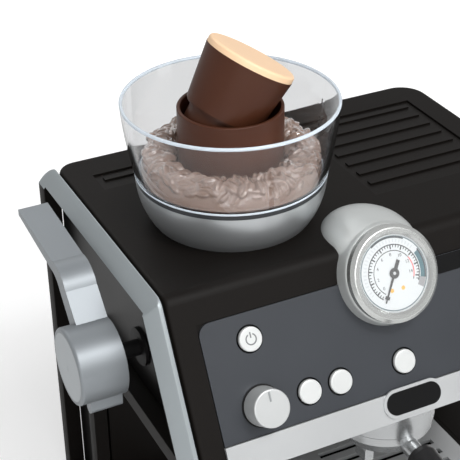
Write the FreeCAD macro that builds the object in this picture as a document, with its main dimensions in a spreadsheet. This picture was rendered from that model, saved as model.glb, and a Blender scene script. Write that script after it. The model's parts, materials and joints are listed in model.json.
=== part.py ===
import FreeCAD, Part
import math
import os
from types import SimpleNamespace

import Sketcher

# Toy coffee maker, in millimetres. +Z is up, the front faces -Y, X = 0 is the middle of the casing,
# and Z = 0 is the surface that the feet stand on.

SIZES = [
    ("casing_width", 220, "black casing, side to side"),
    ("casing_depth", 140.8, "flat top, front bend to rear face"),
    ("casing_height", 205, "ground to flat top"),
    ("front_slant", 28.6, "lean of the front face from upright, degrees"),
    ("head_slope", 83.3, "length of the slanted front face"),
    ("bay_back_setback", 57.4, "rear face to the back wall of the brewing bay"),
    ("base_height", 28, "ground to the top of the base"),
    ("base_reach", 118, "middle of the top to the front of the base"),
    ("foot_height", 3, "rubber foot below the casing"),
    ("foot_radius", 9, "rubber foot"),
    ("wall", 3.5, "casing wall at the top, front and rear"),
    ("side_wall", 5.5, "casing wall at the sides, recess included"),
    ("skin", 2, "depth of the side recess, and thickness of the side panels"),
    ("skin_margin", 8, "side outline to the edge of the side panel"),
    ("fit_gap", 0.3, "clearance round a seated piece"),
    ("running_gap", 0.05, "radial clearance of a turning shaft"),
    ("bend_radius", 7, "rounding of the bend between the top and the front"),
    ("rear_left_radius", 10, "plan rounding at the rear left"),
    ("rear_right_radius", 15, "plan rounding at the rear right"),
    ("edge_radius", 2.5, "rounding of the outline edges"),
    ("bay_radius", 9, "rounding between the bay's back wall and its ceiling"),
    ("trim_width", 13.4, "silver side frame, in X"),
    ("trim_proud", 0.9, "silver side frame above the casing's outline"),
    ("trim_band", 7.5, "silver side frame, outline to its inner edge"),
    ("trim_groove", 1.2, "dark groove between the frame and the casing"),
    ("trim_corner", 9, "rounding of the frame's rear top corner"),
    ("rest_rear", 50.6, "cup rest: rear edge"),
    ("rest_strip", 17, "cup rest: depth of the strip behind the hopper"),
    ("rest_left", 96, "cup rest: left end from the middle"),
    ("rest_right", 95, "cup rest: right end from the middle"),
    ("rest_inner", 22, "cup rest: left end of the right-hand field"),
    ("rest_front", 34, "cup rest: front edge from the middle"),
    ("rest_depth", 2, "cup rest: depth of the recess"),
    ("rib_pitch", 11, "cup rest: rib to rib"),
    ("rib_width", 3.4, "cup rest: width of one rib"),
    ("rib_end", 4, "cup rest: rib end to the recess edge"),
    ("panel_half", 97.8, "control panel: half width"),
    ("panel_top", 15.2, "control panel: top edge, down the slope"),
    ("panel_bottom", 71.9, "control panel: bottom edge, down the slope"),
    ("panel_sunk", 1, "control panel: depth of its recess"),
    ("panel_thick", 1.4, "control panel: thickness"),
    ("panel_radius", 6, "control panel: upper corners"),
    ("bar_thick", 1.6, "brew bar: above the slanted face"),
    ("bar_lip", 9, "brew bar: lip under the head"),
    ("badge_length", 33, "badge: overall length"),
    ("badge_height", 14, "badge: overall height"),
    ("badge_down", 77.6, "badge: centre, down the slope"),
    ("badge_thick", 2.6, "badge: above the slanted face"),
    ("button_cap", 5.75, "button: cap radius"),
    ("button_hole", 6.6, "button: hole radius"),
    ("button_proud", 2.1, "button: face above the slanted face"),
    ("button_travel", 1.5, "button: stroke"),
    ("power_x", -74.2, "power button: from the middle"),
    ("power_down", 27.8, "power button: down the slope"),
    ("outer_button_x", -51.1, "outer brew button: from the middle"),
    ("inner_button_x", -34.7, "inner brew button: from the middle"),
    ("button_down", 59.3, "brew buttons: down the slope"),
    ("knob_x", 75.6, "knobs: from the middle"),
    ("knob_down", 58.8, "knobs: down the slope"),
    ("knob_radius", 8.8, "knob: front face"),
    ("knob_base", 9.3, "knob: base"),
    ("knob_proud", 12, "knob: front face above the slanted face"),
    ("knob_shaft", 3, "knob: shaft radius"),
    ("knob_hole", 10, "knob: hole radius"),
    ("board_thick", 1.6, "circuit board"),
    ("gauge_down", 16.2, "gauge: centre, down the slope"),
    ("gauge_proud", 9.7, "gauge: dial above the slanted face"),
    ("dial_radius", 18.35, "gauge: visible dial"),
    ("bezel_radius", 23.7, "gauge: bezel outside"),
    ("bezel_rise", 2, "gauge: bezel above the dial"),
    ("pod_length", 31, "gauge: front bend to the rear of its housing"),
    ("pod_dome", 14, "gauge: length of the housing's rounded rear"),
    ("pod_half", 19.5, "gauge: half width at the rear"),
    ("pod_rise", 13.5, "gauge: rear height above the flat top"),
    ("hopper_x", -48.2, "hopper: from the middle"),
    ("hopper_y", -14.1, "hopper: from the middle"),
    ("hopper_foot", 39.1, "hopper base: radius on the casing"),
    ("hopper_waist", 46.3, "hopper base: radius under the bowl"),
    ("hopper_base_height", 21.3, "hopper base: height"),
    ("seal_height", 2, "hopper seal ring"),
    ("bowl_rim", 52.1, "hopper bowl: rim radius"),
    ("bowl_top", 60.7, "hopper bowl: rim above the flat top"),
    ("bowl_wall", 1.5, "hopper bowl: wall"),
    ("collar_radius", 25.4, "chute collar: outside radius"),
    ("collar_wall", 1.8, "chute collar: wall"),
    ("collar_top", 57.1, "chute collar: rim above the flat top"),
    ("chute_drop", 58, "chute: lower end below the flat top"),
    ("plug_top", 22.3, "coffee plug: radius under the cap"),
    ("plug_taper", 7, "coffee plug: half angle, degrees"),
    ("plug_seat_x", -9, "coffee plug: middle of its foot from the collar's axis, in X"),
    ("plug_seat_y", 0.8, "coffee plug: middle of its foot from the collar's axis, in Y"),
    ("plug_seat_z", 44.8, "coffee plug: middle of its foot above the flat top"),
    ("plug_lean", 31.1, "coffee plug: lean from upright, degrees"),
    ("plug_length", 28.4, "coffee plug: tapered body"),
    ("plug_foot", 15.8, "coffee plug: stepped foot radius"),
    ("plug_foot_length", 9, "coffee plug: stepped foot length"),
    ("plug_cap_thick", 3.4, "coffee plug: cap"),
    ("hub_y", -40.8, "lever: axis"),
    ("hub_z", 160.8, "lever: axis above the ground"),
    ("hub_radius", 18.9, "lever: hub radius"),
    ("hub_length", 23, "lever: hub length"),
    ("lever_gap", 0.6, "lever: gap to the silver frame"),
    ("arm_width", 15.5, "lever: arm width"),
    ("shaft_radius", 4, "lever shaft radius"),
    ("gear_module", 1.25, "gears: pitch diameter per tooth"),
    ("gear_teeth", 16, "gears: teeth on each"),
    ("gear_width", 7, "gears: face width"),
    ("flap_shaft_radius", 2.5, "flap shaft radius"),
    ("flap_thick", 2.4, "flap plate thickness"),
    ("group_reach", 84, "group head: axis, forward of the middle"),
    ("group_radius", 25.5, "group head: outside radius"),
    ("group_drop", 17, "group head: height below the bay's ceiling"),
    ("group_roof", 6, "group head: ceiling to the inside of its roof"),
    ("group_stem", 11, "group head: radius of the stem through the ceiling"),
    ("gasket_thick", 2.5, "group gasket"),
    ("handle_length", 78, "portafilter: handle"),
    ("wand_x", 82, "steam wand: from the middle"),
    ("wand_reach", 88, "steam wand: forward of the middle"),
    ("wand_radius", 3, "steam wand: pipe radius"),
    ("wand_upper", 24, "steam wand: straight part below the ceiling"),
    ("wand_bend", 20, "steam wand: radius of the bend"),
    ("wand_lean", 14, "steam wand: lean of the lower part, degrees"),
    ("wand_lower", 58, "steam wand: length of the lower part"),
    ("tray_half", 84, "drip tray: half width"),
    ("tray_floor", 7, "drip tray: underside above the ground"),
    ("tray_wall", 2, "drip tray: wall"),
    ("tray_proud", 0.5, "drip tray: front face ahead of the base"),
    ("tray_rear", 5, "drip tray: rear edge, forward of the middle"),
    ("grille_thick", 3, "drip grille"),
    ("slot_pitch", 9, "drip grille: slot to slot"),
    ("slot_width", 4.4, "drip grille: slot width"),
    ("base_plate_thick", 3, "base plate"),
    ("box_wall", 1.5, "battery box wall"),
    ("foot_x", 90, "rubber feet: from the middle"),
    ("foot_inset", 15, "rubber feet: from the front of the base"),
    ("window_left", 26.5, "indicator window: left end"),
    ("window_right", 90, "indicator window: right end"),
    ("window_top", 15.6, "indicator window: top edge, down the slope"),
    ("window_bottom", 24.1, "indicator window: bottom edge, down the slope"),
    ("cell_radius", 7.2, "battery cell radius"),
    ("cell_length", 50, "battery cell length"),
]

doc = FreeCAD.newDocument("toy_coffee_maker")
sheet = doc.addObject("Spreadsheet::Sheet", "sizes")
for row, (alias, value, note) in enumerate(SIZES, 1):
    sheet.set(f"A{row}", note)
    sheet.set(f"B{row}", str(value))
    sheet.setAlias(f"B{row}", alias)
doc.recompute()


class Size:
    """A number together with its formula, so what is worked out from the sheet stays bound to it."""

    def __init__(self, value, formula=None):
        self.value = float(value)
        self.formula = formula or f"({float(value)!r})"

    def join(self, sign, other, value):
        return Size(value, f"({self.formula} {sign} {other.formula})")

    def __add__(self, other):
        other = sized(other)
        return self.join("+", other, self.value + other.value)

    def __sub__(self, other):
        other = sized(other)
        return self.join("-", other, self.value - other.value)

    def __mul__(self, other):
        other = sized(other)
        return self.join("*", other, self.value * other.value)

    def __truediv__(self, other):
        other = sized(other)
        return self.join("/", other, self.value / other.value)

    def __radd__(self, other):
        return sized(other) + self

    def __rsub__(self, other):
        return sized(other) - self

    def __rmul__(self, other):
        return sized(other) * self

    def __neg__(self):
        return sized(0) - self


def sized(number):
    return number if isinstance(number, Size) else Size(number)


def sine(angle):
    return Size(math.sin(math.radians(angle.value)), f"sin({angle.formula} * 1 deg)")


def cosine(angle):
    return Size(math.cos(math.radians(angle.value)), f"cos({angle.formula} * 1 deg)")


mm = SimpleNamespace(**{alias: Size(sheet.get(alias), f"sizes.{alias}") for alias, _, _ in SIZES})


def bind(item, name, size):
    """Sets a property to a size's formula."""
    item.setExpression(name, sized(size).formula)


def new_body(label, x=0, y=0, z=0, axis=None, angle=0):
    """An empty body that stands at x, y, z, turned by angle about axis."""
    body = doc.addObject("PartDesign::Body", label)
    body.Label = label
    if axis:
        turn = FreeCAD.Rotation(FreeCAD.Vector(*axis), sized(angle).value)
        body.Placement = FreeCAD.Placement(FreeCAD.Vector(), turn)
        bind(body, "Placement.Rotation.Angle", angle)
    for name, size in zip("xyz", (x, y, z)):
        bind(body, f"Placement.Base.{name}", size)
    return body


def new_sketch(body, plane, lift=0, base=None, angle=None):
    """A sketch on one of the body's origin planes, lifted along its normal or set at a base and a turn about X."""
    sketch = body.newObject("Sketcher::SketchObject", f"{body.Name}_outline")
    origin = [item for item in body.Origin.OriginFeatures if item.Role == plane]
    sketch.AttachmentSupport = [(origin[0], "")]
    sketch.MapMode = "FlatFace"
    if angle is not None:
        turn = FreeCAD.Rotation(FreeCAD.Vector(1, 0, 0), sized(angle).value)
        sketch.AttachmentOffset = FreeCAD.Placement(FreeCAD.Vector(), turn)
        bind(sketch, "AttachmentOffset.Rotation.Angle", angle)
    for name, size in zip("xyz", base or (0, 0, lift)):
        bind(sketch, f"AttachmentOffset.Base.{name}", size)
    return sketch


def fix_point(sketch, index, position, x, y):
    """Holds one point of a sketch at x, y from its origin."""
    for kind, size in (("DistanceX", sized(x)), ("DistanceY", sized(y))):
        number = sketch.addConstraint(Sketcher.Constraint(kind, -1, 1, index, position, size.value))
        bind(sketch, f"Constraints[{number}]", size)


def outline(sketch, points, closed=True):
    """A run of x, y points. A third number is the bulge, to the right, of the arc that leads there."""
    first = sketch.GeometryCount
    ends = []
    runs = points if closed else points[1:]
    for number, point in enumerate(runs):
        before = points[number - 1] if closed else points[number]
        x1, y1, x2, y2 = (sized(size).value for size in (*before[:2], *point[:2]))
        start, end = FreeCAD.Vector(x1, y1, 0), FreeCAD.Vector(x2, y2, 0)
        if len(point) == 2:
            sketch.addGeometry(Part.LineSegment(start, end))
            ends.append((1, 2))
            continue
        bulge = sized(point[2]).value
        chord = end - start
        side = FreeCAD.Vector(chord.y, -chord.x, 0).normalize()
        middle = (start + end) * 0.5 + side * bulge
        if bulge > 0:
            arc = Part.Arc(start, middle, end)
            ends.append((1, 2))
        else:
            arc = Part.Arc(end, middle, start)
            ends.append((2, 1))
        sketch.addGeometry(arc)
    count = len(runs)
    for number in range(count if closed else count - 1):
        following = (number + 1) % count
        joined = (first + number, ends[number][1], first + following, ends[following][0])
        sketch.addConstraint(Sketcher.Constraint("Coincident", *joined))
    if not closed:
        fix_point(sketch, first, ends[0][0], *points[0][:2])
    for number, point in enumerate(runs):
        fix_point(sketch, first + number, ends[number][1], point[0], point[1])
        if len(point) == 3:
            radius = sketch.Geometry[first + number].Radius
            sketch.addConstraint(Sketcher.Constraint("Radius", first + number, radius))


def box_outline(sketch, x1, y1, x2, y2):
    outline(sketch, [(x1, y1), (x2, y1), (x2, y2), (x1, y2)])


def circle(sketch, x, y, radius):
    radius = sized(radius)
    centre = FreeCAD.Vector(sized(x).value, sized(y).value, 0)
    index = sketch.addGeometry(Part.Circle(centre, FreeCAD.Vector(0, 0, 1), radius.value))
    fix_point(sketch, index, 3, x, y)
    number = sketch.addConstraint(Sketcher.Constraint("Radius", index, radius.value))
    bind(sketch, f"Constraints[{number}]", radius)


def extrude(body, kind, sketch, length, symmetric=False, backwards=False):
    feature = body.newObject(f"PartDesign::{kind}", f"{body.Name}_{kind.lower()}")
    feature.Profile = sketch
    bind(feature, "Length", length)
    if symmetric:
        feature.SideType = "Symmetric"
    feature.Reversed = backwards
    sketch.Visibility = False
    return feature


def pad(body, sketch, length, **options):
    return extrude(body, "Pad", sketch, length, **options)


def pocket(body, sketch, length, **options):
    """Cuts a sketch into the body and checks that something was cut away."""
    doc.recompute()
    before = body.Shape.Volume
    feature = extrude(body, "Pocket", sketch, length, **options)
    doc.recompute()
    if body.Shape.Volume > before - 0.01:
        raise RuntimeError(f"a pocket of {body.Label} cuts nothing")
    return feature


def revolve(body, points, kind="Revolution"):
    """Turns an outline of radius, height points about the body's own Z axis."""
    sketch = new_sketch(body, "XZ_Plane")
    outline(sketch, points)
    feature = body.newObject(f"PartDesign::{kind}", f"{body.Name}_{kind.lower()}")
    feature.Profile = sketch
    feature.ReferenceAxis = (sketch, ["V_Axis"])
    feature.Angle = 360
    return feature


def turned(label, points, **place):
    body = new_body(label, **place)
    revolve(body, points)
    return body


def lies_at(edge, **where):
    """True for an edge that lies wholly at the given x, y or z."""
    box = edge.BoundBox
    spans = {"x": (box.XMin, box.XMax), "y": (box.YMin, box.YMax), "z": (box.ZMin, box.ZMax)}
    for name, size in where.items():
        low, high = spans[name]
        target = sized(size).value
        if abs(low - target) > 0.02 or abs(high - target) > 0.02:
            return False
    return True


def soften(body, radius, chosen, kind="Fillet"):
    """Rounds or chamfers the edges that chosen picks, measured in the body's own frame."""
    doc.recompute()
    base = body.Tip
    edges = [f"Edge{number}" for number, edge in enumerate(base.Shape.Edges, 1) if chosen(edge)]
    if not edges:
        raise RuntimeError(f"no edge of {body.Label} to soften")
    feature = body.newObject(f"PartDesign::{kind}", f"{body.Name}_{kind.lower()}")
    feature.Base = (base, edges)
    bind(feature, "Radius" if kind == "Fillet" else "Size", radius)
    body.Tip = feature
    doc.recompute()
    if not feature.isValid():
        raise RuntimeError(f"{feature.Name} of {body.Label} failed")
    return feature


# Places that several pieces share

half_width = mm.casing_width / 2
rear_y = mm.casing_depth / 2
front_y = -rear_y
top_z = mm.casing_height
slant_sin = sine(mm.front_slant)
slant_cos = cosine(mm.front_slant)
slope_turn = 90 - mm.front_slant
head_z = top_z - mm.head_slope * slant_cos
bay_back = rear_y - mm.bay_back_setback
base_front = -mm.base_reach
column_inside = bay_back + mm.wall
inside_half = half_width - mm.side_wall
chute_bottom = top_z - mm.chute_drop
collar_bore = mm.collar_radius - mm.collar_wall
gear_pitch = mm.gear_module * mm.gear_teeth / 2
flap_z = mm.hub_z - gear_pitch * 2
trim_outside = half_width + mm.trim_width
hub_inside = trim_outside + mm.lever_gap
hub_outside = hub_inside + mm.hub_length


def slope_y(height, inset=0):
    """Y of the slanted front face, drawn in by inset, at a height."""
    return front_y + (inset + slant_sin * (height - top_z)) / slant_cos


def side_outline(inset):
    """The casing seen from the side, drawn in by inset all round: head, column and base."""
    top = top_z - inset
    ceiling = head_z + inset
    back = bay_back + inset
    deck = mm.base_height - inset
    floor = mm.foot_height + inset
    return [
        (rear_y - inset, top),
        (slope_y(top, inset), top),
        (slope_y(ceiling, inset), ceiling),
        (back, ceiling),
        (back, deck),
        (base_front + inset, deck),
        (base_front + inset, floor),
        (rear_y - inset, floor),
    ]


def slope_place(x=0, down=0, out=0):
    """The place of a piece on the slanted face: X across, Y up the slope, Z out of it."""
    return {
        "x": x,
        "y": front_y - down * slant_sin - out * slant_cos,
        "z": top_z - down * slant_cos + out * slant_sin,
        "axis": (1, 0, 0),
        "angle": slope_turn,
    }


def slope_sketch(body, out=0):
    """A sketch that lies on the slanted face of a body which stands at the origin."""
    base = (0, front_y - out * slant_cos, top_z + out * slant_sin)
    return new_sketch(body, "XY_Plane", base=base, angle=slope_turn)


BUTTONS = [
    ("power_button", mm.power_x, mm.power_down),
    ("button_outer", mm.outer_button_x, mm.button_down),
    ("button_inner", mm.inner_button_x, mm.button_down),
    ("button_centre", sized(0), mm.button_down),
]
KNOBS = [("brew_knob", -mm.knob_x), ("steam_knob", mm.knob_x)]


def main_housing():
    """One black moulding: head, column and base, open at the back and under the column."""
    body = new_body("main_housing")
    side = new_sketch(body, "YZ_Plane")
    outline(side, side_outline(0))
    pad(body, side, mm.casing_width, symmetric=True)
    soften(body, mm.rear_left_radius, lambda edge: lies_at(edge, x=-half_width, y=rear_y))
    soften(body, mm.rear_right_radius, lambda edge: lies_at(edge, x=half_width, y=rear_y))
    soften(body, mm.bend_radius, lambda edge: lies_at(edge, y=front_y, z=top_z))
    soften(body, mm.bay_radius, lambda edge: lies_at(edge, y=bay_back, z=head_z))
    soften(
        body,
        mm.edge_radius,
        lambda edge: on_outline(edge) and (lies_at(edge, x=half_width) or lies_at(edge, x=-half_width)),
    )
    inside = new_sketch(body, "YZ_Plane")
    top = top_z - mm.wall
    ceiling = head_z + mm.wall
    outline(
        inside,
        [
            (rear_y - mm.wall, top),
            (slope_y(top, mm.wall), top),
            (slope_y(ceiling, mm.wall), ceiling),
            (column_inside, ceiling),
            (column_inside, sized(0)),
            (rear_y - mm.wall, sized(0)),
        ],
    )
    pocket(body, inside, inside_half * 2, symmetric=True)
    back = new_sketch(body, "XZ_Plane", lift=-rear_y)
    box_outline(back, -cover_half(), cover_low(), cover_half(), cover_high())
    pocket(body, back, mm.wall, backwards=True)
    ledges = new_sketch(body, "XZ_Plane", lift=mm.wall - rear_y)
    for side_x in (-1, 1):
        for height in screw_heights():
            box_outline(
                ledges,
                side_x * (cover_half() - 9),
                height - 5,
                side_x * (inside_half + 0.5),
                height + 5,
            )
    pad(body, ledges, 10)
    recess = new_sketch(body, "YZ_Plane", lift=half_width)
    outline(recess, side_outline(mm.skin_margin))
    pocket(body, recess, mm.skin)
    recess = new_sketch(body, "YZ_Plane", lift=-half_width)
    outline(recess, side_outline(mm.skin_margin))
    pocket(body, recess, mm.skin, backwards=True)
    cup = new_sketch(body, "XY_Plane", lift=top_z)
    outline(cup, cup_outline(0))
    pocket(body, cup, mm.rest_depth)
    chute = new_sketch(body, "XY_Plane", lift=top_z)
    circle(chute, mm.hopper_x, mm.hopper_y, mm.collar_radius + mm.fit_gap)
    pocket(body, chute, mm.wall + 1)
    panel = slope_sketch(body)
    box_outline(panel, -mm.panel_half, -mm.panel_bottom, mm.panel_half, -mm.panel_top)
    pocket(body, panel, mm.panel_sunk)
    holes = slope_sketch(body)
    for _, x, down in BUTTONS:
        circle(holes, x, -down, mm.button_hole)
    for _, x in KNOBS:
        circle(holes, x, -mm.knob_down, mm.knob_hole)
    pocket(body, holes, mm.wall + 1)
    ceiling_holes = new_sketch(body, "XY_Plane", lift=head_z + mm.wall + 1)
    flap_half = mm.collar_radius + 2.5
    box_outline(
        ceiling_holes,
        mm.hopper_x - flap_half,
        mm.hub_y - 8,
        mm.hopper_x + flap_half,
        bay_back - 1.5,
    )
    gear_reach = gear_pitch + mm.gear_module + 1
    box_outline(
        ceiling_holes,
        -gear_outer_x() - 1,
        mm.hub_y - gear_reach,
        mm.hopper_x - flap_half - 1,
        mm.hub_y + gear_reach,
    )
    circle(ceiling_holes, sized(0), -mm.group_reach, mm.group_stem + mm.fit_gap)
    circle(ceiling_holes, mm.wand_x, -mm.wand_reach, 6 + mm.fit_gap)
    pocket(body, ceiling_holes, mm.wall + 2)
    bush = new_sketch(body, "YZ_Plane", lift=-half_width)
    circle(bush, mm.hub_y, mm.hub_z, bush_radius() + mm.fit_gap)
    pocket(body, bush, mm.side_wall + 1, backwards=True)
    tray = new_sketch(body, "XY_Plane", lift=mm.base_height)
    box_outline(
        tray,
        -mm.tray_half - mm.fit_gap,
        base_front - 1,
        mm.tray_half + mm.fit_gap,
        -mm.tray_rear + mm.fit_gap,
    )
    pocket(body, tray, mm.base_height - mm.tray_floor + mm.fit_gap)


def on_outline(edge):
    """True for an edge of the head's top, front and rear outline, above the bay's ceiling or at the back."""
    middle = edge.BoundBox.Center
    return middle.z > head_z.value + 1 and middle.y < rear_y.value + 1 or middle.y > rear_y.value - 1


def cover_half():
    return half_width - mm.rear_right_radius - 1


def cover_low():
    return mm.foot_height + 13


def cover_high():
    return top_z - 17


def screw_heights():
    return [cover_low() + 8, (cover_low() + cover_high()) / 2, cover_high() - 8]


def bush_radius():
    return mm.shaft_radius + 3


def cup_outline(inset):
    """The L-shaped cup rest: a strip behind the hopper and a field to its right."""
    return [
        (-mm.rest_left + inset, mm.rest_rear - mm.rest_strip + inset),
        (mm.rest_inner + inset, mm.rest_rear - mm.rest_strip + inset),
        (mm.rest_inner + inset, -mm.rest_front + inset),
        (mm.rest_right - inset, -mm.rest_front + inset),
        (mm.rest_right - inset, mm.rest_rear - inset),
        (-mm.rest_left + inset, mm.rest_rear - inset),
    ]


def rear_cover():
    """Flat cover let into the back, with slots over the speaker."""
    body = new_body("rear_cover")
    plate = new_sketch(body, "XZ_Plane", lift=-rear_y)
    gap = mm.fit_gap
    box_outline(plate, gap - cover_half(), cover_low() + gap, cover_half() - gap, cover_high() - gap)
    for side_x in (-1, 1):
        for height in screw_heights():
            circle(plate, side_x * (cover_half() - 5), height, 1.6)
    for number in range(6):
        low = speaker_z() - 12.5 + number * 5
        box_outline(plate, sized(-16), low, sized(16), low + 2)
    pad(body, plate, mm.wall - mm.fit_gap)


def speaker_z():
    return top_z - 60


def screws():
    """Pan-head screws that hold the rear cover."""
    body = new_body("rear_cover_screws")
    shanks = new_sketch(body, "XZ_Plane", lift=-rear_y)
    heads = new_sketch(body, "XZ_Plane", lift=-rear_y)
    for side_x in (-1, 1):
        for height in screw_heights():
            circle(shanks, side_x * (cover_half() - 5), height, 1.5)
            circle(heads, side_x * (cover_half() - 5), height, 3)
    pad(body, heads, 1.4, backwards=True).AllowMultiFace = True
    pad(body, shanks, mm.wall - 0.1).AllowMultiFace = True


def side_panel(label, side_x):
    """Glossy skin let into one side."""
    body = new_body(label)
    plate = new_sketch(body, "YZ_Plane", lift=side_x * half_width)
    outline(plate, side_outline(mm.skin_margin + mm.fit_gap))
    pad(body, plate, mm.skin, backwards=side_x > 0)
    if side_x < 0:
        hole = new_sketch(body, "YZ_Plane", lift=-half_width)
        circle(hole, mm.hub_y, mm.hub_z, bush_radius() + mm.fit_gap)
        pocket(body, hole, mm.skin, backwards=True)


def trim_frame():
    """Silver frame that follows the whole left-hand outline, with a narrower spigot against the casing."""
    body = new_body("left_trim_frame")
    spigot = new_sketch(body, "YZ_Plane", lift=-half_width)
    outline(spigot, side_outline(mm.edge_radius + 0.5))
    outline(spigot, side_outline(mm.trim_band))
    pad(body, spigot, mm.trim_groove, backwards=True)
    band = new_sketch(body, "YZ_Plane", lift=-half_width - mm.trim_groove)
    outline(band, side_outline(-mm.trim_proud))
    outline(band, side_outline(mm.trim_band))
    pad(body, band, mm.trim_width - mm.trim_groove, backwards=True)
    proud = mm.trim_proud
    soften(body, mm.trim_corner, lambda edge: lies_at(edge, y=rear_y + proud, z=top_z + proud))
    soften(
        body,
        mm.bend_radius,
        lambda edge: lies_at(edge, y=slope_y(top_z + proud, -proud), z=top_z + proud),
    )


def cup_rest():
    """Insert with raised ribs, where cups stand to warm."""
    body = new_body("cup_rest")
    gap = mm.fit_gap
    plate = new_sketch(body, "XY_Plane", lift=top_z - mm.rest_depth)
    outline(plate, cup_outline(gap))
    pad(body, plate, mm.rest_depth / 2)
    ribs = new_sketch(body, "XY_Plane", lift=top_z - mm.rest_depth / 2)
    field = mm.rest_rear + mm.rest_front
    count = int((field.value - mm.rib_end.value * 2) / mm.rib_pitch.value) + 1
    for number in range(count):
        rear = mm.rest_rear - mm.rib_end - number * mm.rib_pitch
        long_rib = rear.value - mm.rib_width.value > (mm.rest_rear - mm.rest_strip).value
        left = -mm.rest_left if long_rib else mm.rest_inner
        box_outline(ribs, left + mm.rib_end, rear - mm.rib_width, mm.rest_right - mm.rib_end, rear)
    pad(body, ribs, mm.rest_depth / 2 - 0.1)


def control_panel():
    """Blue-grey plate let into the slanted face, with holes for the buttons and knobs."""
    body = new_body("control_panel", **slope_place(out=-mm.panel_sunk))
    plate = new_sketch(body, "XY_Plane")
    gap = mm.fit_gap
    half = mm.panel_half - gap
    box_outline(plate, -half, -mm.panel_bottom, half, -mm.panel_top - gap)
    for _, x, down in BUTTONS:
        circle(plate, x, -down, mm.button_hole)
    for _, x in KNOBS:
        circle(plate, x, -mm.knob_down, mm.knob_hole)
    pad(body, plate, mm.panel_thick)
    soften(
        body,
        mm.panel_radius,
        lambda edge: lies_at(edge, y=-mm.panel_top - gap) and not lies_at(edge, z=0) and edge.Length < 5,
    )


def brew_bar():
    """Silver bar along the foot of the slanted face, with a lip under the head."""
    body = new_body("brew_bar")
    side = new_sketch(body, "YZ_Plane")
    top_down = mm.panel_bottom + mm.fit_gap
    out_y = mm.bar_thick * slant_cos
    out_z = mm.bar_thick * slant_sin
    top_y = front_y - top_down * slant_sin
    top_height = top_z - top_down * slant_cos
    low_y = slope_y(head_z)
    lip = mm.bar_thick
    outline(
        side,
        [
            (top_y, top_height),
            (top_y - out_y, top_height + out_z),
            (slope_y(head_z - lip, -mm.bar_thick), head_z - lip),
            (low_y + mm.bar_lip, head_z - lip),
            (low_y + mm.bar_lip, head_z),
            (low_y, head_z),
        ],
    )
    pad(body, side, mm.panel_half * 2, symmetric=True)


def pill(sketch, length, height):
    """A bar with round ends, about the sketch's origin."""
    half = (length - height) / 2
    radius = height / 2
    bulge = radius * (1 - math.sqrt(0.5))
    outline(
        sketch,
        [
            (half, -radius),
            (half + radius, sized(0), bulge),
            (half, radius, bulge),
            (-half, radius),
            (-half - radius, sized(0), bulge),
            (-half, -radius, bulge),
        ],
    )


def badge():
    """Bare pill-shaped badge: a silver surround and a black insert."""
    surround = new_body("badge_surround", **slope_place(down=mm.badge_down, out=mm.bar_thick))
    shape = new_sketch(surround, "XY_Plane")
    pill(shape, mm.badge_length, mm.badge_height)
    pad(surround, shape, mm.badge_thick - mm.bar_thick)
    well = new_sketch(surround, "XY_Plane", lift=mm.badge_thick - mm.bar_thick)
    pill(well, mm.badge_length - 3, mm.badge_height - 3)
    pocket(surround, well, 0.6)
    insert = new_body("badge_insert", **slope_place(down=mm.badge_down, out=mm.badge_thick - 0.6))
    shape = new_sketch(insert, "XY_Plane")
    pill(shape, mm.badge_length - 3.2, mm.badge_height - 3.2)
    pad(insert, shape, 0.8)


def buttons():
    """Round caps with a flange that keeps them behind the front wall."""
    flange_top = -mm.wall - mm.fit_gap
    for label, x, down in BUTTONS:
        body = turned(
            label,
            [
                (sized(0), flange_top - 1.5),
                (mm.button_hole + 1, flange_top - 1.5),
                (mm.button_hole + 1, flange_top),
                (mm.button_cap, flange_top),
                (mm.button_cap, mm.button_proud),
                (sized(0), mm.button_proud),
            ],
            **slope_place(x=x, down=down),
        )
        soften(body, 0.8, lambda edge: lies_at(edge, z=mm.button_proud))


def knobs():
    """Turning knobs with a shaft in a collar."""
    for label, x in KNOBS:
        body = turned(
            label,
            [
                (sized(0), -mm.wall - 6),
                (mm.knob_shaft, -mm.wall - 6),
                (mm.knob_shaft, sized(1)),
                (mm.knob_base, sized(1)),
                (mm.knob_base, sized(3)),
                (mm.knob_radius, mm.knob_proud),
                (sized(0), mm.knob_proud),
            ],
            **slope_place(x=x, down=mm.knob_down),
        )
        soften(body, 0.7, lambda edge: lies_at(edge, z=mm.knob_proud))
    collars = new_body("knob_collars", **slope_place(down=mm.knob_down, out=-mm.wall))
    shape = new_sketch(collars, "XY_Plane")
    for _, x in KNOBS:
        circle(shape, x, sized(0), mm.knob_hole - 0.1)
        circle(shape, x, sized(0), mm.knob_shaft + mm.running_gap)
    pad(collars, shape, mm.wall + 0.7).AllowMultiFace = True


def circuit_board():
    """Board behind the front wall, with a switch under each button."""
    board_top = -mm.wall - mm.fit_gap - 1.5 - mm.button_travel - 4.3
    body = new_body("circuit_board", **slope_place(out=board_top - mm.board_thick))
    plate = new_sketch(body, "XY_Plane")
    box_outline(plate, mm.power_x - 10, -mm.button_down - 9, sized(12), -mm.power_down + 10)
    pad(body, plate, mm.board_thick)
    switches = new_sketch(body, "XY_Plane", lift=mm.board_thick)
    for _, x, down in BUTTONS[:3]:
        box_outline(switches, x - 3, -down - 3, x + 3, 3 - down)
    box_outline(switches, sized(-3), -mm.button_down - 3, sized(3), 3 - mm.button_down)
    pad(body, switches, 4)
    posts = new_sketch(body, "XY_Plane", lift=mm.board_thick)
    for x in (mm.power_x + 14, mm.inner_button_x + 18):
        for down in (mm.power_down + 4, mm.button_down - 14):
            circle(posts, x, -down, 2)
    pad(body, posts, -mm.wall - mm.fit_gap - board_top)


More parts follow.
